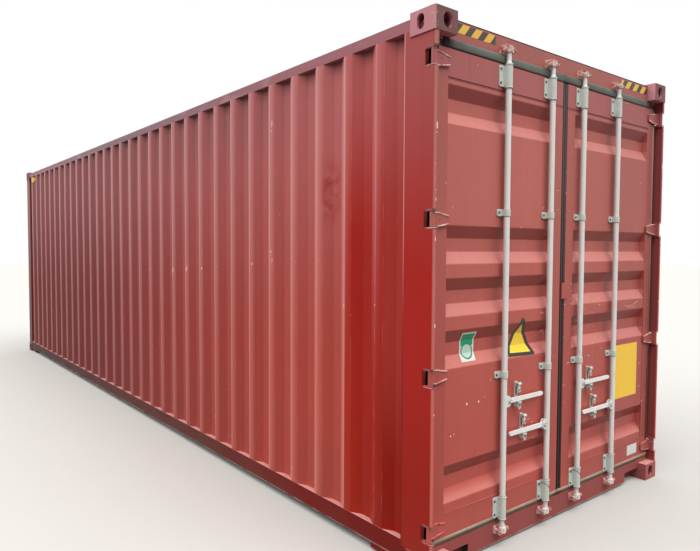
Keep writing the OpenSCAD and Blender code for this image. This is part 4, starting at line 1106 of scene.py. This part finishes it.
class CONTAINER_OT_bolts(bpy.types.Operator):
    """Bolt heads on the rod bearings and dark dots at the hinge roots"""
    bl_idname = "container.bolts"
    bl_label = "Bolts"

    def execute(self, context):
        width = context.scene.container_fittings.bolt
        for side, hand in HAND.items():
            mesh = bmesh.new()
            for rod in RODS_OF[side]:
                self.add_rod_bolts(mesh, ROD_Y[rod], width)
            for height in HINGE_HEIGHTS:
                place = (DOOR_FACE + 0.011, side * (PIN_Y - 0.072), height + 0.004)
                add_disc(mesh, place, (1, 0, 0), 0.0045, 0.0012, 14)
            new_piece(f"bearing_bolts_{hand}", mesh, MADE["dark_bolt"], f"door_{hand}")
        return {"FINISHED"}

    def add_rod_bolts(self, mesh, y, width):
        face = DOOR_FACE + 0.006
        for height in BEARING_HEIGHTS:
            for rise in (-BOLT_RISE, BOLT_RISE):
                for across in BOLT_ACROSS:
                    add_bolt(mesh, (face, y + across, height + rise), (1, 0, 0), width)
        for height in GUIDE_HEIGHTS:
            add_bolt(mesh, (face, y + GUIDE_BOLT_ACROSS, height), (1, 0, 0), width)
            add_bolt(mesh, (face, y + BOLT_ACROSS[1], height), (1, 0, 0), width * 0.8)


class CONTAINER_OT_seals(bpy.types.Operator):
    """Bulging lips of the door seals, with painted shade in the sill lips' gaps by the rods."""
    bl_idname = "container.seals"
    bl_label = "Seal lips"

    def execute(self, context):
        face = SEAL_FACE
        for side, hand in HAND.items():
            body = f"door_{hand}"
            low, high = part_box(f"door_seal_{hand}")
            inner, outer = sorted((abs(low.y), abs(high.y))) if side < 0 else (low.y, high.y)
            mesh = bmesh.new()
            add_strip(mesh, (face, side * inner, HEADER_LIP),
                      (face, side * (outer - 0.060), HEADER_LIP), (0, 0, 1), 0.050, 0.009)
            add_strip(mesh, (face, side * 1.150, 0.185), (face, side * 1.150, 2.722),
                      (0, 1, 0), 0.024, 0.008)
            if side > 0:
                for y in (-0.009, 0.016):
                    add_strip(mesh, (face, y, 0.150), (face, y, 2.724), (0, 1, 0), 0.014, 0.004)
            new_piece(f"seal_bulges_{hand}", mesh, MADE["rubber"], body,
                      smooth=True)
            mesh = bmesh.new()
            stops = sorted([inner, outer] + [abs(ROD_Y[rod]) for rod in RODS_OF[side]])
            for here, there in zip(stops, stops[1:]):
                first = here + (0.0 if here == stops[0] else 0.027)
                last = there - (0.003 if there == stops[-1] else 0.027)
                add_strip(mesh, (face, side * first, SILL_LIP), (face, side * last, SILL_LIP),
                          (0, 0, 1), 0.021, 0.008)
            new_piece(f"seal_lips_{hand}", mesh, MADE["lip"], body, smooth=True)
            # Dark spots in the gaps of the sill lips by each rod: painted shade.
            mesh = bmesh.new()
            for y in stops[1:-1]:
                for across, rise in ((-0.029, 0.000), (-0.026, 0.010), (0.028, -0.003)):
                    place = (face, side * y + across, NOTCH_SHADE_HEIGHT + rise)
                    add_disc(mesh, place, (1, 0, 0), 0.0085, 0.0092, 10, 0.0055)
            new_piece(f"seal_notch_shade_{hand}", mesh, MADE["wire"], body)
        return {"FINISHED"}


class CONTAINER_OT_keeper_bridges(bpy.types.Operator):
    """Bridges over the cams with a round cut for the rod"""
    bl_idname = "container.keeper_bridges"
    bl_label = "Keeper bridges"

    def execute(self, context):
        half, bore, middle = 0.044, 0.017, 0.034
        turns = [math.radians(angle) for angle in range(0, 181, 20)]
        cut = [(middle - bore * math.sin(turn), bore * math.cos(turn)) for turn in turns]
        outline = [(0.002, -half), (0.030, -half), (0.037, -half + 0.010), (0.039, -0.024)]
        outline += [(x, -y) for x, y in cut]
        outline += [(0.039, 0.024), (0.037, half - 0.010), (0.030, half), (0.002, half)]
        mesh = bmesh.new()
        for y in ROD_Y.values():
            for height in CAM_HEIGHTS:
                out = 1 if height > 1 else -1
                add_plate(mesh, outline, 0.0195, 0.0245,
                          lambda a, b, c: (HEADER_HIGH.x + a, y + b, height + out * c))
        new_piece("keeper_bridges", mesh, MADE["worn"], "frame", bevel=0.0012)
        return {"FINISHED"}


class CONTAINER_OT_hinge_rims(bpy.types.Operator):
    """Raised rims along the hinge blades"""
    bl_idname = "container.hinge_rims"
    bl_label = "Hinge rims"

    def execute(self, context):
        face = DOOR_FACE + 0.0108
        for side, hand in HAND.items():
            mesh = bmesh.new()
            for height in HINGE_HEIGHTS:
                for out in (-1, 1):
                    points = [(face, side * (PIN_Y - 0.018), height + out * 0.0345),
                              (face, side * (PIN_Y - 0.061), height + out * 0.0345),
                              (face, side * (PIN_Y - 0.134), height + out * 0.0205)]
                    add_tube(mesh, points, 0.0046, 8)
            new_piece(f"hinge_rims_{hand}", mesh, MADE["worn"], f"door_{hand}",
                      smooth=True)
        return {"FINISHED"}


class CONTAINER_OT_rings(bpy.types.Operator):
    """Dark joints and rolled rings at the ends of the bearing sleeves"""
    bl_idname = "container.rings"
    bl_label = "Sleeve rings"

    def execute(self, context):
        for rod in RODS:
            dark, pale = bmesh.new(), bmesh.new()
            for height in BEARING_HEIGHTS:
                for out in (-1, 1):
                    for rise, mesh, radius, thick in ((0.0586, dark, 0.0212, 0.0028),
                                                      (0.0625, pale, 0.0222, 0.0036),
                                                      (0.0668, dark, 0.0200, 0.0030)):
                        add_ring(mesh, (ROD_X, ROD_Y[rod], height + out * rise), radius, thick)
            for height in GUIDE_HEIGHTS:
                add_ring(dark, (ROD_X, ROD_Y[rod], height - 0.0202), 0.0185, 0.0030)
            new_piece(f"dark_rings_{rod}", dark, MADE["dark_bolt"], f"rod_{rod}",
                      smooth=True)
            new_piece(f"pale_rings_{rod}", pale, MADE["bracket"], f"rod_{rod}",
                      smooth=True)
        return {"FINISHED"}


class CONTAINER_OT_wires(bpy.types.Operator):
    """Thin wires looped round the lower bearings of the middle rods"""
    bl_idname = "container.wires"
    bl_label = "Wires"

    def execute(self, context):
        for rod in (2, 3):
            mesh = bmesh.new()
            y, z = ROD_Y[rod], BEARING_HEIGHTS[0]
            flat, out = DOOR_FACE + 0.0085, ROD_X + 0.0235
            points = [(flat, y - 0.050, z + 0.040), (flat + 0.006, y - 0.030, z + 0.048),
                      (out - 0.008, y - 0.016, z + 0.040), (out, y, z + 0.026),
                      (out - 0.008, y + 0.018, z + 0.006), (flat + 0.003, y + 0.029, z - 0.022),
                      (flat, y + 0.026, z - 0.046)]
            add_tube(mesh, points, 0.0016, 6)
            new_piece(f"wire_{rod}", mesh, MADE["wire"], ROD_BODY[rod], smooth=True)
        return {"FINISHED"}


class CONTAINER_OT_catch_details(bpy.types.Operator):
    """Pins at the handles' forks, and eyes and seal rings on their catches, with a painted shadow
    behind each flap.
    """
    bl_idname = "container.catch_details"
    bl_label = "Catch details"

    def execute(self, context):
        for rod in RODS:
            turn, handle = HANDLE_TURN[rod], PIVOT[f"handle_{rod}_lift"]
            catch = PIVOT[f"flap_{rod}_swing"]
            dark, pale = bmesh.new(), bmesh.new()
            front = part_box(f"lock_rod_{rod}")[1].x
            place = Vector((front - 0.0022, handle.y, handle.z))
            add_disc(dark, place, (1, 0, 0), 0.0115, 0.0012, 16)
            add_disc(pale, place + Vector((0.0010, 0, 0)), (1, 0, 0), 0.0080, 0.0020, 16, 0.0070)
            for out in (-1, 1):
                place = (ROD_X, handle.y - turn * 0.0145, handle.z + out * 0.0236)
                add_disc(dark, place, (0, 0, out), 0.0100, 0.0008, 16)
            new_piece(f"fork_washers_{rod}", dark, MADE["dark_bolt"], f"rod_{rod}")
            new_piece(f"fork_pins_{rod}", pale, MADE["rod"], f"rod_{rod}")
            eye_and_shadow, ring = bmesh.new(), bmesh.new()
            low = handle.z - 0.041
            self.add_oval(ring, (ROD_X + 0.0046, catch.y, low), 0.0112, 0.0180, 0.0056)
            self.add_oval(eye_and_shadow, (ROD_X + 0.0036, catch.y, low), 0.0074, 0.0140, 0.0034)
            # A dark sheet on the catch plate behind the flap: painted shadow.
            add_box(eye_and_shadow, (DOOR_FACE + 0.0048, catch.y - 0.0092, handle.z + 0.016),
                    (DOOR_FACE + 0.0056, catch.y + 0.0092, catch.z - 0.010))
            for out in (-1, 1):
                add_disc(eye_and_shadow, (catch.x, catch.y + out * 0.0170, catch.z), (0, out, 0), 0.0052,
                         0.0008, 14)
            tab, hole = bmesh.new(), bmesh.new()
            low = catch.z - 0.034
            self.add_oval(tab, (ROD_X + 0.0042, catch.y, low), 0.0080, 0.0125, 0.0042)
            self.add_oval(hole, (ROD_X + 0.0036, catch.y, low), 0.0050, 0.0090, 0.0030)
            new_piece(f"flap_rims_{rod}", tab, MADE["bracket"], f"flap_{rod}",
                      smooth=True)
            new_piece(f"flap_eyes_{rod}", hole, MADE["dark_bolt"], f"flap_{rod}")
            body = ROD_BODY[rod]
            new_piece(f"seal_eyes_and_shadow_{rod}", eye_and_shadow, MADE["dark_bolt"], body)
            new_piece(f"seal_rings_{rod}", ring, MADE["bracket"], body,
                      smooth=True)
        return {"FINISHED"}

    def add_oval(self, mesh, centre, across, up, thick):
        """Adds an upright oval ring that faces ahead."""
        ring = bmesh.new()
        add_ring(ring, (0, 0, 0), across, thick, 20)
        upright = Matrix.Rotation(math.radians(90), 4, "Y")
        matrix = Matrix.Translation(centre) @ Matrix.Diagonal((1, 1, up / across, 1)) @ upright
        bmesh.ops.transform(ring, matrix=matrix, verts=ring.verts)
        move_into(mesh, ring)


class CONTAINER_OT_bare_spots(bpy.types.Operator):
    """Chips and scratches in the paint of the doors, the post lips and the left wall"""
    bl_idname = "container.bare_spots"
    bl_label = "Bare spots"

    def execute(self, context):
        for side, hand in HAND.items():
            mesh = bmesh.new()
            for y, z, size in DOOR_CHIPS[side]:
                face = DOOR_FACE - SHEET - panel_depth(y, z)
                add_disc(mesh, (face, y, z), (1, 0, 0), size, 0.0004, 9)
            if side > 0:
                face = DOOR_FACE - SHEET
                for path in DOOR_SCRATCHES:
                    add_tube(mesh, [(face, y, z) for y, z in path], 0.0008, 5)
            new_piece(f"bare_spots_{hand}", mesh, MADE["bare"], f"door_{hand}")
        mesh = bmesh.new()
        lip = POST_HIGH.x
        for side in HAND:
            add_chips(mesh, LIP_CHIPS, LIP_CHIP_SHAPE, lambda a, b, c: (lip + c, side * a, b))
        new_piece("lip_chips", mesh, MADE["bare"], "frame")
        mesh = bmesh.new()
        add_chips(mesh, WALL_CHIPS, WALL_CHIP_SHAPE, lambda a, b, c: (a, -WALL_OUT - c, b))
        rubbed = make_plain("rubbed_spot", tone(240, 172, 166), 0.6)
        new_piece("wall_chips", mesh, rubbed, "frame")
        return {"FINISHED"}


class CONTAINER_OT_lug_rims(bpy.types.Operator):
    """Rims round the hinge windows of the door posts, pale below as a painted highlight and dark
    above as painted shade
    """
    bl_idname = "container.lug_rims"
    bl_label = "Lug rims"

    def execute(self, context):
        # The pale lower rims are a painted highlight and the dark upper rims painted shade.
        for name, out, material in (("lower", -1, MADE["worn"]), ("upper", 1, MADE["dark_bolt"])):
            mesh = bmesh.new()
            proud = 0.0004
            for side in HAND:
                for height in HINGE_HEIGHTS:
                    z = height + out * 0.0440
                    points = [(DOOR_FACE - 0.012, side * (POST_HIGH.y + proud), z),
                              (POST_HIGH.x - 0.010, side * (POST_HIGH.y + proud), z),
                              (POST_HIGH.x - 0.003, side * (POST_HIGH.y - 0.003), z),
                              (POST_HIGH.x + proud, side * (POST_HIGH.y - 0.010), z),
                              (POST_HIGH.x + proud, side * (POST_HIGH.y - 0.023), z)]
                    add_tube(mesh, points, 0.0018)
            new_piece(f"lug_rims_{name}", mesh, material, "frame", smooth=True)
        return {"FINISHED"}


class CONTAINER_OT_welds(bpy.types.Operator):
    """Weld beads round the door panels, castings and header"""
    bl_idname = "container.welds"
    bl_label = "Weld beads"

    def execute(self, context):
        radius = context.scene.container_fittings.weld
        for hand in HAND.values():
            low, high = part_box(f"door_panel_{hand}")
            mesh = bmesh.new()
            face = DOOR_FACE - SHEET
            for z in (low.z, high.z):
                add_bead(mesh, (face, low.y, z), (face, high.y, z), radius * 0.6)
            for y in (low.y, high.y):
                add_bead(mesh, (face, y, low.z), (face, y, high.z), radius * 0.3)
            new_piece(f"panel_welds_{hand}", mesh, MADE["door"], f"door_{hand}",
                      smooth=True)
        mesh = bmesh.new()
        low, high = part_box("castings_door_top")
        for z in (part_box("castings_door_bottom")[1].z, low.z):
            for side in (-1, 1):
                y = side * POST_HIGH.y
                add_bead(mesh, (POST_LOW.x + 0.05, y, z), (POST_HIGH.x - 0.012, y, z), radius)
                add_bead(mesh, (DOOR_FACE - 0.04, side * (POST_HIGH.y - 0.008), z),
                         (DOOR_FACE - 0.04, side * (POST_HIGH.y - 0.042), z), radius)
        new_piece("casting_welds", mesh, MADE["post"], "frame", smooth=True)
        return {"FINISHED"}


class CONTAINER_PT_panel(bpy.types.Panel):
    """Lists the container's pieces"""
    bl_label = "Container"
    bl_idname = "CONTAINER_PT_panel"
    bl_space_type = "VIEW_3D"
    bl_region_type = "UI"
    bl_category = "Container"

    def draw(self, context):
        column = self.layout.column()
        for operator in STEPS:
            column.operator(operator.bl_idname)


SETTINGS = {
    "container_camera": CameraSettings,
    "container_stage": StageSettings,
    "container_paint": PaintSettings,
    "container_fittings": FittingSettings,
}
STEPS = (
    CONTAINER_OT_stage,
    CONTAINER_OT_paints,
    CONTAINER_OT_stripes,
    CONTAINER_OT_stickers,
    CONTAINER_OT_bolts,
    CONTAINER_OT_seals,
    CONTAINER_OT_keeper_bridges,
    CONTAINER_OT_hinge_rims,
    CONTAINER_OT_rings,
    CONTAINER_OT_wires,
    CONTAINER_OT_catch_details,
    CONTAINER_OT_bare_spots,
    CONTAINER_OT_lug_rims,
    CONTAINER_OT_welds,
)


def register():
    for name, group in SETTINGS.items():
        bpy.utils.register_class(group)
        setattr(bpy.types.Scene, name, PointerProperty(type=group))
    for operator in STEPS:
        bpy.utils.register_class(operator)
    bpy.utils.register_class(CONTAINER_PT_panel)


def unregister():
    bpy.utils.unregister_class(CONTAINER_PT_panel)
    for operator in reversed(STEPS):
        bpy.utils.unregister_class(operator)
    for name, group in SETTINGS.items():
        delattr(bpy.types.Scene, name)
        bpy.utils.unregister_class(group)


def main():
    register()
    bpy.ops.container.stage()
    bpy.ops.container.paints()
    bpy.ops.container.stripes()
    bpy.ops.container.stickers()
    bpy.ops.container.bolts()
    bpy.ops.container.seals()
    bpy.ops.container.keeper_bridges()
    bpy.ops.container.hinge_rims()
    bpy.ops.container.rings()
    bpy.ops.container.wires()
    bpy.ops.container.catch_details()
    bpy.ops.container.bare_spots()
    bpy.ops.container.lug_rims()
    bpy.ops.container.welds()


if __name__ == "__main__":
    main()
